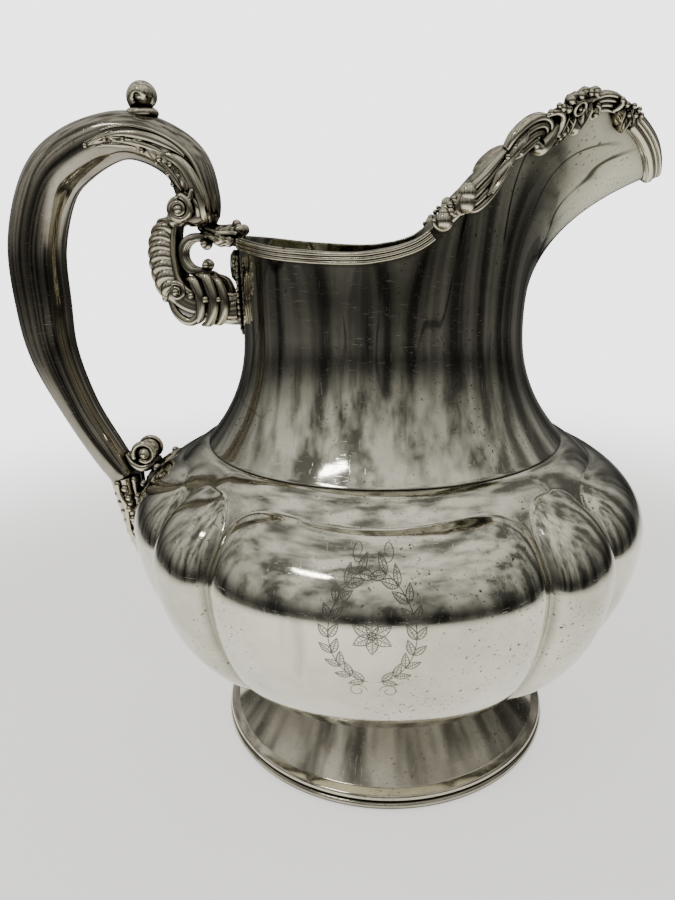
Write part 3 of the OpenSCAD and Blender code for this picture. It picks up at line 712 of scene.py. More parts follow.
cluster = []
for u, d, r in (
        (7.2, -3.0, 0.85), (7.36, -3.6, 0.75), (7.5, -2.2, 1.05), (7.64, -3.4, 1.15), (7.7, -0.9, 1.2),
        (7.86, -3.6, 1.05), (7.9, -1.4, 1.0), (8.12, -3.4, 0.9), (8.3, -2.9, 0.95), (8.42, -1.9, 0.8),
        (7.93, 7.6, 0.9), (8.08, 9.0, 0.8)):
    cluster.append(rim_ball(u, d, r, 1.3 + 0.5 * r))
cluster += rim_curl(8.06, 0.4, 1.9, 1.6, 0.62, 0.55, 20, 1.0, out=2.3, lift=0.1, bead=0.6)
for points, widths, shape in (
        ([(7.62, -3.6), (7.85, -1.6), (8.15, -1.0), (8.42, -1.4), (8.6, -0.4)], [0.8, 2.6, 3.2, 2.4, 0.8],
         dict(veins=3, thick=0.9, high=1.1, lobes=3, groove=0.6)),
        ([(7.84, 0.6), (7.93, 3.4), (7.98, 6.4), (7.98, 9.4), (8.02, 11.6)], [0.6, 1.5, 1.5, 1.2, 0.3],
         dict(veins=3, thick=0.8, high=1.3, groove=0.5)),
        ([(8.02, 2.0), (8.14, 4.4), (8.2, 6.8), (8.2, 9.6)], [0.7, 1.8, 1.9, 0.5],
         dict(veins=3, thick=1.1, high=1.6, groove=0.5)),
        ([(8.3, -0.6), (8.42, 1.8), (8.5, 4.4), (8.5, 7.0), (8.42, 9.4)], [0.8, 1.9, 2.4, 2.3, 0.7],
         dict(veins=2, thick=1.3, high=1.9, groove=0.4)),
        ([(8.0, 11.2), (8.24, 10.4), (8.46, 9.0), (8.6, 8.0)], [0.5, 1.3, 1.3, 0.4],
         dict(veins=5, lobes=3, thick=0.5, high=0.9))):
    cluster.append(rim_leafy(points, widths, **shape))
cluster += [rim_tube([(8.3, 5.4), (8.4, 7.0), (8.5, 7.6), (8.62, 6.8)], [1.2, 2.1, 2.2, 1.2], 1.3, 16),
            rim_tube([(8.14, 6.6), (8.2, 8.2), (8.28, 9.0)], [1.0, 1.5, 0.9], 1.1, 16)]
both("shell_cluster", cluster)

arch = [rim_band([(8.60, 6.2), (8.58, 4.0), (8.66, 2.0), (8.82, 0.9), (9.05, 0.6), (9.3, 0.8), (9.5, 1.1),
                  (9.68, 1.6)],
                 [1.3, 2.0, 2.6, 2.8, 2.6, 2.3, 2.0, 1.6], 4, count=150, thick=0.8, high=1.2)]
arch += rim_curl(8.72, 3.4, 1.9, 0.8, 0.85, 0.5, 110, -1.2, out=1.7, bead=1.0)
arch += [rim_tube([(9.2, -1.6), (9.28, -0.4), (9.3, 0.9), (9.27, 2.2)], [0.5, 0.8, 0.8, 0.4], 2.0),
         rim_ball(9.2, -1.3, 0.8, 2.0)]
both("lip_scroll", arch)

sprig = []
for points, widths, shape in (
        ([(9.4, 1.0), (9.54, 2.2), (9.66, 3.8), (9.76, 5.2)], [0.8, 1.6, 1.5, 0.5],
         dict(veins=2, thick=1.2, high=1.7, groove=0.3)),
        ([(9.72, 1.0), (9.84, 3.0), (9.92, 5.0), (9.96, 6.6)], [0.7, 1.5, 1.5, 0.5],
         dict(veins=2, thick=1.2, high=1.6, groove=0.3)),
        ([(9.52, -0.4), (9.7, 0.6), (9.9, 1.8), (10.1, 3.4)], [0.5, 1.4, 1.5, 0.5],
         dict(veins=3, thick=1.0, high=1.1, lobes=2))):
    sprig.append(rim_leafy(points, widths, **shape))
for u, d, r in (
        (9.42, -0.6, 0.85), (9.6, -1.1, 0.8), (9.78, -1.0, 0.8), (9.96, -0.3, 0.75), (9.7, 1.4, 0.9),
        (9.83, 0.5, 0.9)):
    sprig.append(rim_ball(u, d, r, 1.4 + 0.6 * r))
both("lip_sprig", sprig)

# the lip's band: a broad smooth inner roll and two fine outer reeds, in one length round the tip
half = np.linspace(10.08, 12, 70)
ks = np.linspace(0, 1, 41)
section = []
for k in ks:
    if k < 0.42:
        f = (k / 0.21) % 1 * 2 - 1
        section.append(0.5 + 0.55 * math.sqrt(max(1 - abs(f) ** 2.4, 0)))
    elif k < 0.88:
        f = (k - 0.42) / 0.46 * 2 - 1
        section.append(0.5 + 1.05 * math.sqrt(max(1 - abs(f) ** 2.6, 0)))
    else:
        section.append(0.45 * (1 - (k - 0.88) / 0.12) + 0.1)
rows = []
for i, u in enumerate(half):
    size = 1 if i > 2 else 0.55 + 0.15 * i
    pts = [beside_rim(u, 0.1 + 5.0 * k * size, s * size) for k, s in zip(ks, section)]
    pts += [beside_rim(u, 5.0 * size, -SEAT - 0.1), beside_rim(u, 2.5, -SEAT - 0.1),
            beside_rim(u, 0.05, -SEAT - 0.1)]
    rows.append(np.array(pts).reshape(-1, 3))
rows += [r * arr(1, -1, 1) for r in rows[-2::-1]]
cast("lip_moulding", [outward(grid(rows))])

# the leaf on the rim beside the handle
REAR_Z = DIP_Z + REAR_RISE


def rear(points):
    """Points (back from the rim, sideways, up from it)."""
    return [arr(-WAIST_R - x, y, REAR_Z + z) for x, y, z in points]


midrib = rear([(13.6, 0, 2.9), (10.5, 0, 2.2), (7, 0, 1.2), (2.5, 0, 1.4), (-1, 0, 1.6)])
rim_leaf_parts = [leaf(midrib, [arr(0.25, 0, 1)] * 5, [1.2, 3.4, 4.8, 4.4, 2.0], veins=5, lobes=3,
                       notch=0.3, back=-3.2, high=1.9, groove=0.5)]
rim_leaf_parts += [ball(rear([q[:3]])[0], q[3]) for q in (
    (13.4, 0, 3.4, 1.5), (-0.2, -3.2, 2.2, 1.9), (-0.2, 3.2, 2.2, 1.9), (1.4, 0, 4.0, 1.6))]
for s in (-1, 1):
    side_leaf = rear([(12.4, s * 1.2, 2.6), (8.5, s * 3.2, 0.2), (4.5, s * 4.6, -1.2),
                      (1.2, s * 5.2, -1.0)])
    rim_leaf_parts.append(leaf(side_leaf, [arr(0, s, 0.25)] * 4, [0.6, 1.9, 2.2, 0.8],
                               veins=4, lobes=3, back=-0.8))
for s in (-1, 1):
    vein = rear([(11, s * 2.2, 3.2), (7, s * 3.9, 1.6), (3, s * 4.6, 1.4), (0.6, s * 5.4, 1.2)])
    rim_leaf_parts.append(tube(along(vein, 30), np.linspace(0.9, 0.6, 30), 10))
cast("rim_leaf", rim_leaf_parts)

# ---------------------------------------------------------------- the handle
GAP = SOLDER / 2
span = len(HANDLE_ROWS) - 1
ts = np.linspace(0, span, 420)
arc = np.linspace(180, 360, 33)
rows = []
for t in ts:
    out_arc = handle_skin(t, arc) - arr(0, GAP, 0)
    in_arc = handle_skin(t, arc[::-2], -1.4) - arr(0, GAP + 0.04, 0)
    rows.append(np.vstack([out_arc, in_arc]))
both("handle_half", [outward(grid(rows))], HANDLE_TARNISH_AND_REFLECTION)


def xz(points):
    """Points (x, z) or (x, z, y) in space."""
    return np.array([(p[0], p[2] if len(p) > 2 else 0, p[1]) for p in points], float)


def spiral(centre, big, small, start, turns, count=80, lift=(0, 0, 0)):
    """Points of a spiral in the XZ plane about centre; start in degrees, turns may be negative."""
    s = np.linspace(0, 1, count)
    a = np.radians(start) + turns * 2 * math.pi * s
    r = big * (small / big) ** s
    p = np.stack([r * np.cos(a), 0 * s, r * np.sin(a)], 1) + np.asarray(centre, float)
    return p + np.outer(s, np.asarray(lift, float))


def curled_leaf(path, widths, thick, ridges=5, count=90, across=25, dome=0.0, ridge_h=0.28):
    """A leaf that curls in the XZ plane: widths across Y, ridges along it, its edges domed in."""
    p = along(path, count)
    t = unit(np.gradient(p, axis=0))
    n = np.stack([-t[:, 2], 0 * t[:, 0], t[:, 0]], 1)
    w = along_value(widths, count)
    th = along_value(thick, count) if np.ndim(thick) else np.full(count, thick)
    ks = np.linspace(-1, 1, across)
    rows = []
    for i in range(count):
        ridge = ridge_h * (np.cos(ks * math.pi * ridges) - 1) * (1 - ks ** 6)
        up = th[i] * np.sqrt(1 - np.abs(ks) ** 3 * 0.9) + ridge * min(1, w[i] / 2.5)
        sag = dome * w[i] * (1 - np.sqrt(1 - 0.92 * ks ** 2))
        front = p[i] + np.outer(ks * w[i], (0, 1, 0)) + np.outer(up - sag, n[i])
        back = p[i] + np.outer(ks[::-1] * w[i] * 0.94, (0, 1, 0))
        back = back - np.outer(up[::-1] * 0.6 + sag[::-1], n[i])
        rows.append(np.vstack([front, back]))
    return outward(grid(rows))


def skin_tube(points, radii, out=0.3, count=80, sides=12, flat=1.0):
    """A rib on the handle through (t, angle) points."""
    q = along(points, count)
    r = along_value(radii, count)
    p = handle_skin(q[:, 0], q[:, 1], out)
    n = handle_skin(q[:, 0], q[:, 1], out + 1) - p
    return tube(p, r, sides, n, flat)


# the thumb scroll: a leaf that rises from the handle and rolls over
seat = handle_skin(4.36, 0, 0)
near, far = handle_skin(4.30, 0, 0), handle_skin(4.42, 0, 0)
run = unit(far - near)
outv = unit(handle_skin(4.36, 0, 2.0) - seat)
roll_path = spiral((0, 0, 0), 4.1, 1.7, 232, -1.15, 90)
ax = np.stack([-run, outv])
flip = 1 if ax[0][0] > 0 else -1
centre = seat + outv * 4.5
coil = np.array([centre + flip * ax[0] * q[0] + ax[1] * q[2] for q in roll_path])
thumb = [curled_leaf(list(coil[::6]), [3.6, 4.6, 5.3, 5.6, 5.6, 5.4, 5.0, 4.6, 4.0, 3.4],
                     [1.5, 1.7, 1.7, 1.7, 1.6, 1.5, 1.4, 1.3, 1.2, 1.0], 1, 150, 31, 0.62, 0.08),
         tube([centre - arr(0, 3.4, 0), centre, centre + arr(0, 3.4, 0)], [1.5, 2.5, 1.5], 24),
         ball(centre - arr(0, 3.3, 0), 1.7), ball(centre + arr(0, 3.3, 0), 1.7)]
thumb.append(ball(seat - outv * 0.4, 4.4, (1.25, 1.05, 0.55)))
cast("thumb_scroll", thumb)

# volutes beside the handle's upper end
c = VOLUTE
parts = [lathe([(0.05, -0.8), (3.9, -0.8), (4.2, -0.4), (4.2, 0.2), (3.6, 0.5), (0.05, 0.5)], 64, True)]
turned = [(np.stack([v[:, 0], -v[:, 2], v[:, 1]], 1) + c, f) for v, f in parts]
turned = [outward(q) for q in turned]
turned.append(tube(spiral(c + arr(0, -0.5, 0), 4.0, 1.15, 75, -1.75, 130, (0, -0.9, 0)),
                   np.linspace(1.15, 0.62, 130), 14))
turned.append(ball(c + arr(0, -1.5, 0), 1.45))
turned.append(tube(along(xz([(c[0] + 4.6, c[2] + 5.5, c[1] - 0.3), (c[0] + 3.4, c[2] + 3.0, c[1] - 0.5),
                             (c[0] + 1.0, c[2] + 4.0, c[1] - 0.5)]), 20),
                   np.linspace(0.7, 1.1, 20), 12))
both("volute", turned)


# acanthus on the handle's sides, at (t, angle) places: t counts along SHAPE's rows
def skin_leaf(t_from, t_to, mid_from, mid_to, half, lobes, veins, relief, lean=0.0):
    """A lobed leaf on the handle, from t_from to t_to along it, about the angles mid_from to mid_to."""
    s = np.linspace(0, 1, 150)
    t = mix(t_from, t_to, s)
    mid = mix(mid_from, mid_to, s) + lean * np.sin(math.pi * s)
    h = along_value(half, 150)
    saw = (lobes * s) % 1
    h = h * (1 - 0.34 * saw ** 2 * (1 - saw) ** 0.3)
    ks = np.linspace(-1, 1, 41)
    rows = []
    for i in range(150):
        k = np.abs(ks)
        vein = 0.5 + 0.5 * np.cos(2 * math.pi * (veins * s[i] + 0.9 * k))
        body = (1 - k ** 3) * (0.72 + 0.28 * np.cos(2 * math.pi * lobes * s[i] + 1.3 * k))
        body = body - 0.42 * vein * (k > 0.12) * (1 - k ** 5)
        rib = 0.45 * np.exp(-(ks / 0.09) ** 2)
        up = 0.1 + relief * (body + rib) * min(1, 5 * s[i] + 0.2, 5 * (1 - s[i]) + 0.2)
        front = handle_skin(t[i], mid[i] + ks * h[i], np.maximum(up, 0.05))
        back = handle_skin(t[i], mid[i] + ks[::-1] * h[i] * 0.97, -0.1)
        rows.append(np.vstack([front, back]))
    return outward(grid(rows))


acanthus = [skin_leaf(2.2, 5.5, 248, 262, [3, 18, 26, 23, 15, 5], 5, 9, 0.75),
            skin_leaf(1.15, 3.2, 276, 250, [8, 26, 24, 8], 3, 6, 0.8, lean=6)]
acanthus += [
    skin_tube([(0.75, 318), (1.3, 308), (2.0, 301), (2.8, 297), (3.6, 294), (4.4, 288), (5.1, 278)],
              [0.5, 0.75, 0.8, 0.75, 0.65, 0.5, 0.25], 0.2, 110),
    skin_tube([(0.95, 300), (1.5, 294), (2.1, 286), (2.7, 276), (3.2, 264), (3.5, 254)],
              [0.8, 1.5, 1.75, 1.6, 1.2, 0.4], 0.2, 100, 16, 1.25),
    skin_tube([(1.25, 280), (1.6, 276), (1.95, 266), (2.15, 254)], [0.9, 1.4, 1.2, 0.4], 0.4, 70),
    skin_tube([(3.0, 287), (3.5, 281), (4.1, 273), (4.7, 266), (5.4, 260)], [0.5, 1.1, 1.15, 0.8, 0.25],
              0.2, 90, 14, 1.2),
    skin_tube([(3.3, 262), (3.8, 257), (4.4, 252), (4.9, 250)], [0.4, 1.0, 0.9, 0.3], 0.25, 70),
    skin_tube([(2.25, 246), (2.6, 240), (3.0, 238), (3.4, 240)], [0.5, 1.15, 1.1, 0.4], 0.3, 60),
    skin_tube([(4.2, 243), (4.7, 242), (5.3, 248)], [0.4, 0.85, 0.3], 0.2, 50)]
for t, a, r in (
        (2.1, 232, 1.15), (2.5, 226, 0.95), (2.95, 229, 1.05), (3.45, 246, 1.1), (3.95, 243, 0.9),
        (3.5, 233, 0.8), (4.55, 255, 0.8), (5.05, 258, 0.75), (1.55, 254, 1.2), (1.85, 243, 1.0),
        (5.5, 259, 0.7), (3.1, 252, 0.9)):
    acanthus.append(ball(handle_skin(t, a, 0.7), r))
both("acanthus", acanthus)


# ---------------------------------------------------------------- the upper bracket
def level(share):
    return mix(BRACKET_Z, VOLUTE[2], share)


HX = -HANDLE_IN_X
PLATE_X = WAIST_R + SOLDER + PLATE_T
B_ROWS = np.array([
    [HX - 0.68 * GRIP_D - 2.0, level(0.95), 2.4, 4.6],
    [HX - 11.7, level(0.74), 5.1, 5.2],
    [HX - 12.3, level(0.5), 5.7, 6.0],
    [HX - 10.4, level(0.25), 5.6, 6.6],
    [HX - 4.5, level(0.08), 5.8, 7.0],
    [-PLATE_X - 4, BRACKET_Z, 5.6, 6.8],
    [-PLATE_X - SOLDER, BRACKET_Z, 5.8, 6.6],
])


def skin(section_rows, t, a, out=0.0):
    """Point on a casting with such sections: t along it, a degrees round it, out from the metal."""
    t, a, out = np.broadcast_arrays(*(np.asarray(x, float) for x in (t, a, out)))
    row, lo, hi = (spline(section_rows, t + e) for e in (0, -0.05, 0.05))
    run = unit(hi[..., :2] - lo[..., :2])
    d, w, a = row[..., 2] + out, row[..., 3] + out, np.radians(a)
    return np.stack([row[..., 0] - run[..., 1] * d * np.cos(a), -w * np.sin(a),
                     row[..., 1] + run[..., 0] * d * np.cos(a)], -1)


a = np.linspace(0, 360, 73)[:-1]
rows = []
for t in np.linspace(0, 6, 230):
    side_y = np.sin(np.radians(a))
    ribs = np.abs(np.sin(math.pi * (2.5 * t + 1.25 * np.abs(side_y)))) ** 0.6
    outer_face = 0.5 - 0.5 * np.cos(np.radians(a))
    zone = float(smooth(0.1, 0.5, t) * (1 - smooth(3.0, 3.6, t)))
    flutes = 0.35 * np.cos(np.radians(a) * 6) * float(smooth(3.0, 3.7, t))
    relief = 1.5 * ribs * zone * outer_face + 0.35 * zone * (1 - outer_face) + flutes
    rows.append(skin(B_ROWS, t, a, relief - 0.6))
parts = [outward(grid(rows))]
# scrolls and leaves along the bracket's lower edge, on both sides
for s in (-1, 1):
    y = s * 5.6

    def low(points, radii, flat):
        path = xz([(HX + p[0], level(p[1]), s * (p[2] - 0.9)) for p in points])
        return tube(along(path, 60), along_value(radii, 60), 14, [(0, s, 0)], flat)

    parts.append(tube(spiral((HX - 8.4, y, level(0.20)), 3.3, 0.9, 150, -1.5, 90, (0, s * 1.3, 0)),
                      np.linspace(1.15, 0.6, 90), 12))
    parts.append(ball((HX - 8.4, y + s * 1.9, level(0.20)), 1.2))
    for points, radii, flat in (
            ([(-12.8, 0.40, 4.6), (-10.6, 0.04, 5.4), (-6.6, -0.10, 5.8), (-2.6, -0.08, 6.2),
              (-1.0, 0.10, 6.6)],
             [0.7, 1.1, 1.3, 1.3, 0.6], 1.15),
            ([(-5.6, 0.32, 5.2), (-2.6, 0.30, 6.4), (-0.4, 0.12, 6.8), (-1.4, -0.07, 6.4),
              (-4.4, -0.13, 5.6)],
             [0.5, 1.4, 1.7, 1.3, 0.5], 1.2),
            ([(-1.6, 0.36, 5.4), (2.0, 0.32, 6.6), (4.0, 0.10, 7.0), (2.4, -0.10, 6.6), (-0.8, -0.15, 5.4)],
             [0.5, 1.5, 1.8, 1.4, 0.5], 1.2),
            ([(3.6, 0.34, 5.8), (6.4, 0.26, 6.8), (7.6, 0.06, 6.8), (6.0, -0.10, 6.2), (3.2, -0.14, 5.2)],
             [0.5, 1.2, 1.5, 1.2, 0.4], 1.2)):
        parts.append(low(points, radii, flat))
    for x, y, share, r in ((-3.4, 6.9, 0.16, 1.1), (1.6, 7.4, 0.12, 1.2), (6.0, 7.2, 0.12, 0.95)):
        parts.append(ball((HX + x, s * y, level(share)), r))
    # a raised edge that runs from the handle down the bracket's inner side
    parts.append(tube(np.array([skin(B_ROWS, t, s * -52, 0.0) for t in np.linspace(0.1, 4.2, 90)]),
                      np.linspace(0.9, 1.1, 90), 12))
parts.append(ball((HX - 13.4, -2.6, level(0.13)), 1.5))
parts.append(ball((HX - 13.4, 2.6, level(0.13)), 1.5))
# the web between the volutes that takes the bracket up to the handle
parts.append(tube([arr(HX - 8.2, 0, level(0.93)), arr(HX - 6.2, 0, level(1.0)),
                   arr(HX - 3.6, 0, level(1.05))], [4.0, 4.4, 3.8], 28,
                  [(0, 1, 0)], 0.75))
for s in (-1, 1):
    parts.append(ball((HX - 7.6, s * 4.6, level(0.90)), 2.1))
cast("upper_bracket", parts)

# the C-scroll inside the bracket
cs = arr(HX - 13.2 + 4.6 + SOLDER + 1.6 + 5.6, 0, level(0.56))
th = np.radians(np.linspace(62, 298, 90))
path = cs + np.stack([5.6 * np.cos(th), 0 * th, 5.6 * np.sin(th)], 1)
normal = np.stack([-np.cos(th), 0 * th, -np.sin(th)], 1)
w = np.interp(np.linspace(0, 1, 90), [0, 0.2, 0.8, 1], [2.2, 3.6, 3.6, 2.2])
rows = []
ks = np.linspace(-1, 1, 37)
for i in range(90):
    f = ((ks + 1) * 1.5) % 1 * 2 - 1
    up = 0.9 + 0.55 * np.sqrt(np.maximum(1 - np.abs(f) ** 2.4, 0))
    front = path[i] + np.outer(ks * w[i], (0, 1, 0)) + np.outer(up, normal[i])
    back = path[i] + np.outer(ks[::-1] * w[i], (0, 1, 0)) - np.outer(up[::-1], normal[i])
    rows.append(np.vstack([front, back]))
parts = [outward(grid(rows))]
for ang in (62, 298):
    mid = cs + 3.9 * arr(math.cos(math.radians(ang)), 0, math.sin(math.radians(ang)))
    for s in (-1, 1):
        parts.append(ball(mid + arr(0.9, s * 2.4, 0), 1.5))
    parts.append(tube([mid - arr(-0.9, 3.0, 0), mid + arr(0.9, 0, 0), mid + arr(0.9, 3.0, 0)],
                      [1.4, 2.1, 1.4], 20))
cast("bracket_scroll", parts)

# the plate on the neck, with a raised edge and a row of beads
plate_z = BRACKET_Z + 5
parts, rows = [], []
zs = np.linspace(-14.0, 14.0, 90)
for z in zs:
    hw = max(math.sqrt(max(17 ** 2 - z * z, 0)) - 9.5, 0.15)
    ks = np.linspace(-1, 1, 31)
    yy = ks * hw
    lift = 0.55 * np.exp(-((np.abs(ks) - 0.84) / 0.13) ** 2) + 0.5 * np.exp(-(ks / 0.16) ** 2)
    r0, r1 = WAIST_R + 0.02, WAIST_R + SOLDER + PLATE_T - 0.55 + lift
    front = np.stack([-np.sqrt(r1 ** 2 - yy ** 2), yy, np.full(31, plate_z + z)], 1)
    back = np.stack([-np.sqrt(r0 ** 2 - yy ** 2), yy, np.full(31, plate_z + z)], 1)[::-1]
    rows.append(np.vstack([front, back]))
parts.append(outward(grid(rows)))
for z in np.linspace(-11.5, 12, 13):
    hw = math.sqrt(17 ** 2 - z * z) - 9.5
    for s in (-1, 1):
        y = s * (hw + 0.1)
        parts.append(ball((-math.sqrt((WAIST_R + 1.1) ** 2 - y * y), y, plate_z + z), 0.85))
parts.append(leaf([arr(-PLATE_X - 0.4, 0, plate_z + 4), arr(-PLATE_X - 0.9, 0, plate_z + 9),
                   arr(-PLATE_X - 0.4, 0, plate_z + 14.5)],
                  [arr(-1, 0, 0)] * 3, [1.5, 2.6, 0.5], veins=4, lobes=3, back=-1.0))
cast("neck_mount_plate", parts)


# ---------------------------------------------------------------- the handle's lower end
def tail_row(z, depth, width):
    e = 0.2
    dr = float(bowl_r(min(z + e, JOINT_Z), BELLY_R, 1.7) - bowl_r(z - e, BELLY_R, 1.7))
    slope = 2 * e / math.hypot(2 * e, dr)
    return [-float(bowl_r(z, BELLY_R, 1.7)) - (LEAF_T + 4 * SOLDER) / slope - depth, z, depth, width]


end = HANDLE_ROWS[-1]
run2 = unit(end[:2] - HANDLE_ROWS[-2][:2])
T_ROWS = np.array([
    [end[0] + run2[0] * 2 * SOLDER, end[1] + run2[1] * 2 * SOLDER, 0.6 * GRIP_D, 0.66 * GRIP_W],
    tail_row(HANDLE_LOW_Z - 7, 0.54 * GRIP_D, 0.6 * GRIP_W),
    tail_row(HANDLE_LOW_Z - 15, 0.46 * GRIP_D, 0.56 * GRIP_W),
    tail_row(HANDLE_LOW_Z - 24, 0.46 * GRIP_D, 0.48 * GRIP_W),
    tail_row(HANDLE_LOW_Z - 32, 0.4 * GRIP_D, 0.34 * GRIP_W),
    tail_row(HANDLE_LOW_Z - 37, 0.1 * GRIP_D, 0.1 * GRIP_W),
])


a = np.linspace(0, 360, 61)[:-1]
rows = []
for t in np.linspace(0, 5, 190):
    flute = 0.4 * np.cos(np.radians(a) * 5)
    scale = 0.35 * (0.5 + 0.5 * math.cos(2 * math.pi * 2.2 * t)) * float(smooth(0.3, 1, t))
    fade = min(1, (5 - t) * 1.2)
    rows.append(skin(T_ROWS, t, a, (-0.3 + flute + scale) * fade))
parts = [outward(grid(rows))]
for s in (-1, 1):
    for t, ang, r in (
            (0.5, 78, 1.3), (1.05, 72, 1.25), (1.6, 80, 1.3), (2.1, 74, 1.2), (2.65, 80, 1.25),
                      (3.2, 74, 1.1),
            (3.8, 80, 1.05), (4.3, 76, 0.8)):
        parts.append(ball(skin(T_ROWS, t, s * ang, 0.1), r))
    ridge = np.array([skin(T_ROWS, t, s * 38, 0.15) for t in np.linspace(0.1, 4.6, 60)])
    parts.append(tube(ridge, np.linspace(1.1, 0.45, 60), 10))
    wavy = np.array([skin(T_ROWS, t, s * (98 + 8 * math.sin(3 * t)), 0.0) for t in np.linspace(0.2, 4.2,
                                                                                               60)])
    parts.append(tube(wavy, np.linspace(1.2, 0.5, 60), 10))
cast("handle_tail", parts)

# the curl above the handle's lower end
top_r = float(bowl_r(JOINT_Z - 8, BELLY_R, 1.7))
kc = arr(-top_r - 9, 0, JOINT_Z - 8.4)
coil = spiral(kc, 4.1, 1.3, 215, -1.45, 90)
parts = [curled_leaf(list(coil[::8]), [4.2, 4.9, 4.9, 4.6, 4.2, 3.8, 3.2], 0.6, 4, 120),
         tube([kc - arr(0, 3.2, 0), kc, kc + arr(0, 3.2, 0)], [2.7, 3.7, 2.7], 24)]
for s in (-1, 1):
    parts.append(ball(kc + arr(0, s * 4.3, 0), 1.8))
    parts.append(tube(spiral(kc + arr(0, s * 3.9, 0), 4.4, 2.9, 200, -0.9, 50, (0, s * 0.5, 0)),
                      np.linspace(1.0, 0.8, 50), 12))
stalk = xz([(-top_r - 17, JOINT_Z - 9.4), (-top_r - 14.5, JOINT_Z - 12.6), (-top_r - 10.5, JOINT_Z - 14.4),
            (-top_r - 5.6, JOINT_Z - 12.6)])
parts.append(curled_leaf(stalk, [3.0, 4.6, 5.2, 4.2], [1.2, 2.4, 2.8, 2.2], 4, 70))
cast("lower_scroll", parts)

# the leaf on the belly under the handle
top_z, tip_z = JOINT_Z - 9, JOINT_Z - 53
ks = np.linspace(-1, 1, 61)
rows = []
for s in np.linspace(0, 1, 170):
    z = mix(top_z, tip_z, s)
    half = (1 + 8.5 * math.sqrt(math.sin(math.radians(6 + 170 * s))) * (1 - 0.55 * s))
    saw = (7 * s) % 1
    half *= 1 - 0.26 * saw ** 2
    thick = LEAF_T * mix(0.5, 1, math.sin(math.pi * s))
    k = np.abs(ks)
    vein = 0.5 + 0.5 * np.cos(2 * math.pi * (14 * s + 1.6 * k))
    up = 0.06 + thick * ((1 - 0.65 * k ** 2) * (1 - 0.3 * saw ** 2 * k) - 0.34 * vein * (k > 0.15)
                         * (1 - k ** 6))
    edge = (1 - k ** 14)
    front = belly_at(180 + ks * half, z, np.maximum(up * edge, 0.05))
    back = belly_at(180 + ks[::-1] * half * 0.98, z, -0.1)
    rows.append(np.vstack([front, back]))
parts = [outward(grid(rows))]
for s in (-1, 1):
    for z, ang, r in ((JOINT_Z - 12, 7.4, 1.4), (JOINT_Z - 17, 8.8, 1.3), (JOINT_Z - 22, 8.4, 1.4),
                      (JOINT_Z - 27, 7.8, 1.25),
                      (JOINT_Z - 32, 7.0, 1.3), (JOINT_Z - 37, 5.8, 1.15), (JOINT_Z - 42, 4.6, 1.0),
                      (JOINT_Z - 47, 3.2, 0.85)):
        parts.append(ball(belly_at(180 + s * ang, z, 0.7), r))
cast("lower_mount_leaf", parts)


# ---------------------------------------------------------------- engraving on the near lobe
CUT_LIFT = 0.03


def engraved(points, half):
    """A fine cut line on the near lobe through (across mm, height mm) points."""
    q = along(points, max(4, 5 * len(points)))
    ang = 270 + np.degrees(q[:, 0] / (BELLY_R - 1))
    p = belly_at(ang, q[:, 1], CUT_LIFT)
    e = belly_at(ang, q[:, 1], CUT_LIFT + 1) - p
    _, n, b = frames(p, e)
    w = half * np.sin(np.linspace(0.15, math.pi - 0.15, len(q)))[:, None] ** 0.5
    rows = np.stack([p - b * w - n * 0.06, p - b * w * 0.5 + n * 0.01, p + b * w * 0.5 + n * 0.01,
                     p + b * w - n * 0.06], 1)
    return grid(rows, wrap_v=True)


lines = []


def petal(cx, cz, ang, length, width, hatch):
    """A hatched leaf: an outline of two curved strokes, filled with slanted cuts on one side."""
    ca, sa = math.cos(math.radians(ang)), math.sin(math.radians(ang))

    def at(s, k):
        side = k * width * math.sin(math.pi * min(s, 1) ** 0.8)
        return (cx + s * length * ca - side * sa, cz + s * length * sa + side * ca)

    for k in (-1, 1):
        lines.append(engraved([at(s, k) for s in np.linspace(0, 1, 9)], 0.17))
    lines.append(engraved([at(s, 0) for s in np.linspace(0, 0.93, 7)], 0.12))
    for s in np.arange(0.07, 0.9, hatch / length):
        lines.append(engraved([at(s, 0.05), at(s + 0.035, 0.5), at(s + 0.05, 0.93)], 0.085))
    for s in np.arange(0.12, 0.86, 1.7 * hatch / length):
        lines.append(engraved([at(s, -0.05), at(s + 0.035, -0.5), at(s + 0.05, -0.9)], 0.07))


OZ = 82.0
for side in (-1, 1):
    for k in range(9):
        a2 = math.radians(-78 + 18.5 * k)
        x0, z0 = 11.0 * math.cos(a2), OZ + 15.0 * math.sin(a2)
        head = math.degrees(math.atan2(15.0 * math.cos(a2), -11.0 * math.sin(a2)))
        for tilt, size in ((34, 5.0), (-32, 4.4)):
            ang = head + tilt
            petal(side * x0, z0, ang if side > 0 else 180 - ang, size, 0.95, hatch=0.55)
    arc_a = np.radians(np.linspace(-84, 80, 30))
    lines.append(engraved(list(zip(side * 11.0 * np.cos(arc_a), OZ + 15.0 * np.sin(arc_a))), 0.15))
    for z1, r1, hand in ((OZ - 18.5, 2.6, 1), (OZ + 18.0, 2.2, -1)):
        s = np.linspace(0, 1, 24)
        a2 = np.radians(180 - 430 * s)
        r2 = r1 * (1 - 0.7 * s)
        lines.append(engraved(list(zip(side * (4.2 + r2 * np.cos(a2)), z1 + hand * r2 * np.sin(a2))), 0.14))
for k in range(6):
    petal(0, OZ, 30 + 60 * k, 5.6, 1.5, hatch=0.6)
lines.append(engraved([(1.1 * math.cos(x), OZ + 1.1 * math.sin(x)) for x in np.linspace(0, 2 * math.pi,
                                                                                        14)], 0.16))
make_piece("engraved_wreath", lines, ENGRAVED)

# ---------------------------------------------------------------- floor, light, camera
FLOOR_R = 0.55


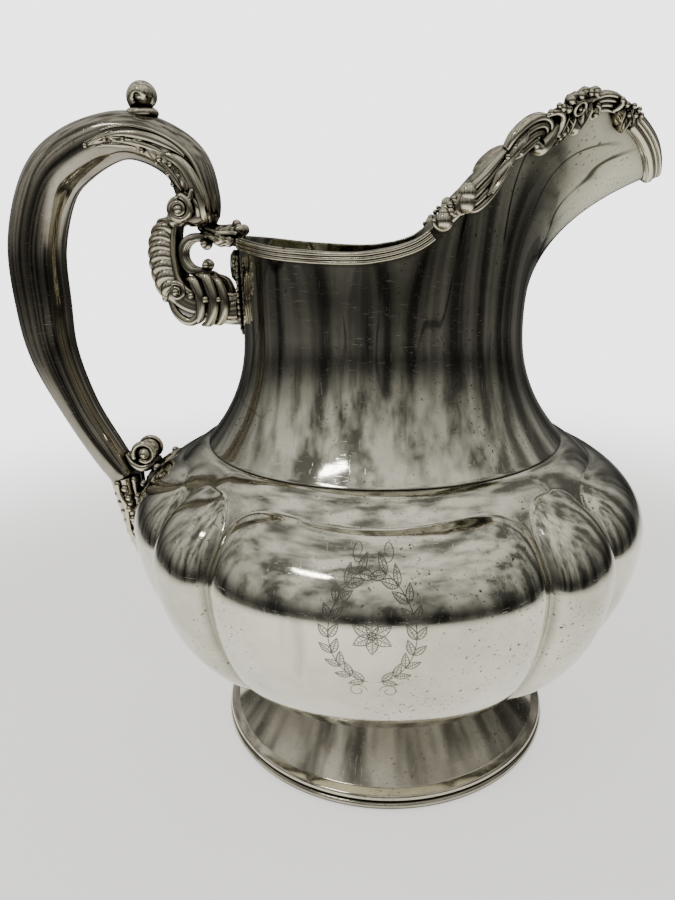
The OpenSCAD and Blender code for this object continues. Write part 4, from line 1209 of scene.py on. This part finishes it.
def floor_material(color=(0.93, 0.93, 0.92), rough=0.7, glow=0.9, fade_from=0.2):
    """Plain and pale, and clear towards its edge."""
    m = bpy.data.materials.new("pale_floor")
    m.use_nodes = True
    tr = m.node_tree
    sh = tr.nodes["Principled BSDF"]
    sh.inputs["Roughness"].default_value = rough
    sh.inputs["Emission Color"].default_value = (1.0, 0.985, 0.95, 1)
    sh.inputs["Emission Strength"].default_value = glow
    tc = node(tr, "ShaderNodeTexCoord")
    n = node(tr, "ShaderNodeTexNoise", Scale=3.0, Detail=3.0)
    tr.links.new(tc.outputs["Object"], n.inputs["Vector"])
    r = node(tr, "ShaderNodeMix", data_type="RGBA")
    r.inputs[6].default_value = (*color, 1)
    r.inputs[7].default_value = (*(c * 0.985 for c in color), 1)
    tr.links.new(n.outputs[0], r.inputs[0])
    tr.links.new(r.outputs[2], sh.inputs["Base Color"])
    far = node(tr, "ShaderNodeVectorMath", operation="LENGTH")
    tr.links.new(tc.outputs["Object"], far.inputs[0])
    fade = node(tr, "ShaderNodeMapRange", interpolation_type="SMOOTHSTEP")
    fade.inputs[1].default_value, fade.inputs[2].default_value = fade_from, FLOOR_R
    tr.links.new(far.outputs["Value"], fade.inputs[0])
    clear = node(tr, "ShaderNodeBsdfTransparent")
    faded = node(tr, "ShaderNodeMixShader")
    tr.links.new(fade.outputs[0], faded.inputs[0])
    tr.links.new(sh.outputs[0], faded.inputs[1])
    tr.links.new(clear.outputs[0], faded.inputs[2])
    tr.links.new(faded.outputs[0], tr.nodes["Material Output"].inputs[0])
    return m


bpy.ops.mesh.primitive_circle_add(vertices=96, radius=FLOOR_R, fill_type="NGON", location=(0, 0, -0.0004))
floor = bpy.context.object
floor.name = "floor"
floor.data.materials.append(floor_material())
LIGHT_TARGET = arr(0, 0, 0.1)


def area(name, loc, size, size_y, watts):
    d = bpy.data.lights.new(name, "AREA")
    d.shape = "RECTANGLE"
    d.size, d.size_y, d.energy = size, size_y, watts
    o = bpy.data.objects.new(name, d)
    o.location = loc
    v = LIGHT_TARGET - np.array(loc, float)
    o.rotation_euler = (math.atan2(math.hypot(v[0], v[1]), -v[2]), 0, math.atan2(v[0], -v[1]))
    bpy.context.scene.collection.objects.link(o)


area("key", (-0.55, -0.75, 1.15), 0.32, 0.5, 9.0)
area("fill", (0.95, -0.45, 0.75), 0.45, 0.7, 5.0)
area("back", (0.1, 0.9, 0.9), 0.9, 0.35, 5.0)

def studio(stops, spread, strength, backdrop):
    """A room that polished metal reflects: brightness by height, from straight down (0) over the
    horizon (0.5) to straight up (1), with soft upright shapes, and a plain white backdrop."""
    world = bpy.data.worlds.new("studio")
    bpy.context.scene.world = world
    world.use_nodes = True
    tr = world.node_tree
    tr.nodes.clear()
    ln = tr.links.new
    tc = node(tr, "ShaderNodeTexCoord")
    split = node(tr, "ShaderNodeSeparateXYZ")
    ln(tc.outputs["Generated"], split.inputs[0])
    height = node(tr, "ShaderNodeMapRange")
    height.inputs[1].default_value, height.inputs[2].default_value = -1, 1
    ln(split.outputs[2], height.inputs[0])
    ramp = node(tr, "ShaderNodeValToRGB")
    ln(height.outputs[0], ramp.inputs[0])
    room = ramp.color_ramp
    while len(room.elements) < len(stops):
        room.elements.new(0.5)
    for e, (pos, g) in zip(room.elements, stops):
        e.position = pos
        e.color = (g, g * 0.99, g * 0.955, 1)
    shapes = node(tr, "ShaderNodeTexNoise", Scale=2.6, Detail=3.0, Roughness=0.6)
    upright = node(tr, "ShaderNodeMapping")
    upright.inputs["Scale"].default_value = (1.9, 1.9, 0.28)
    ln(tc.outputs["Generated"], upright.inputs[0])
    ln(upright.outputs[0], shapes.inputs["Vector"])
    vary = node(tr, "ShaderNodeMapRange")
    for k, v in zip((1, 2, 3, 4), spread):
        vary.inputs[k].default_value = v
    ln(shapes.outputs[0], vary.inputs[0])
    both_lit = node(tr, "ShaderNodeMix", data_type="RGBA", blend_type="MULTIPLY")
    both_lit.inputs[0].default_value = 1.0
    ln(ramp.outputs[0], both_lit.inputs[6])
    ln(vary.outputs[0], both_lit.inputs[7])
    lit = node(tr, "ShaderNodeBackground", Strength=strength)
    ln(both_lit.outputs[2], lit.inputs[0])
    seen = node(tr, "ShaderNodeBackground", Color=(1, 1, 1, 1), Strength=backdrop)
    pick = node(tr, "ShaderNodeMixShader")
    ln(node(tr, "ShaderNodeLightPath").outputs["Is Camera Ray"], pick.inputs[0])
    ln(lit.outputs[0], pick.inputs[1])
    ln(seen.outputs[0], pick.inputs[2])
    ln(pick.outputs[0], node(tr, "ShaderNodeOutputWorld").inputs[0])


studio([(0.0, 0.35), (0.34, 0.20), (0.42, 0.09), (0.47, 0.045), (0.51, 0.075), (0.56, 0.17),
        (0.66, 0.34), (0.82, 0.46), (1.0, 0.58)], spread=(0.40, 0.60, 0.25, 1.6), strength=1.15,
       backdrop=3.2)

cam_data = bpy.data.cameras.new("camera")
cam = bpy.data.objects.new("camera", cam_data)
bpy.context.scene.collection.objects.link(cam)
CAM_AT = Vector((0.00724, -0.23697, 0.17819))
right = Vector((0.99560, 0.09068, -0.02385)).normalized()
fwd = Vector((-0.09363, 0.94787, -0.30460)).normalized()
cam.matrix_world = Matrix.Translation(CAM_AT) @ Matrix((right, right.cross(fwd),
                                                        -fwd)).transposed().to_4x4()
cam_data.sensor_fit = "AUTO"
cam_data.sensor_width = 36
cam_data.lens = 27.6
cam_data.clip_start = 0.005
cam_data.dof.use_dof = False
bpy.context.scene.camera = cam
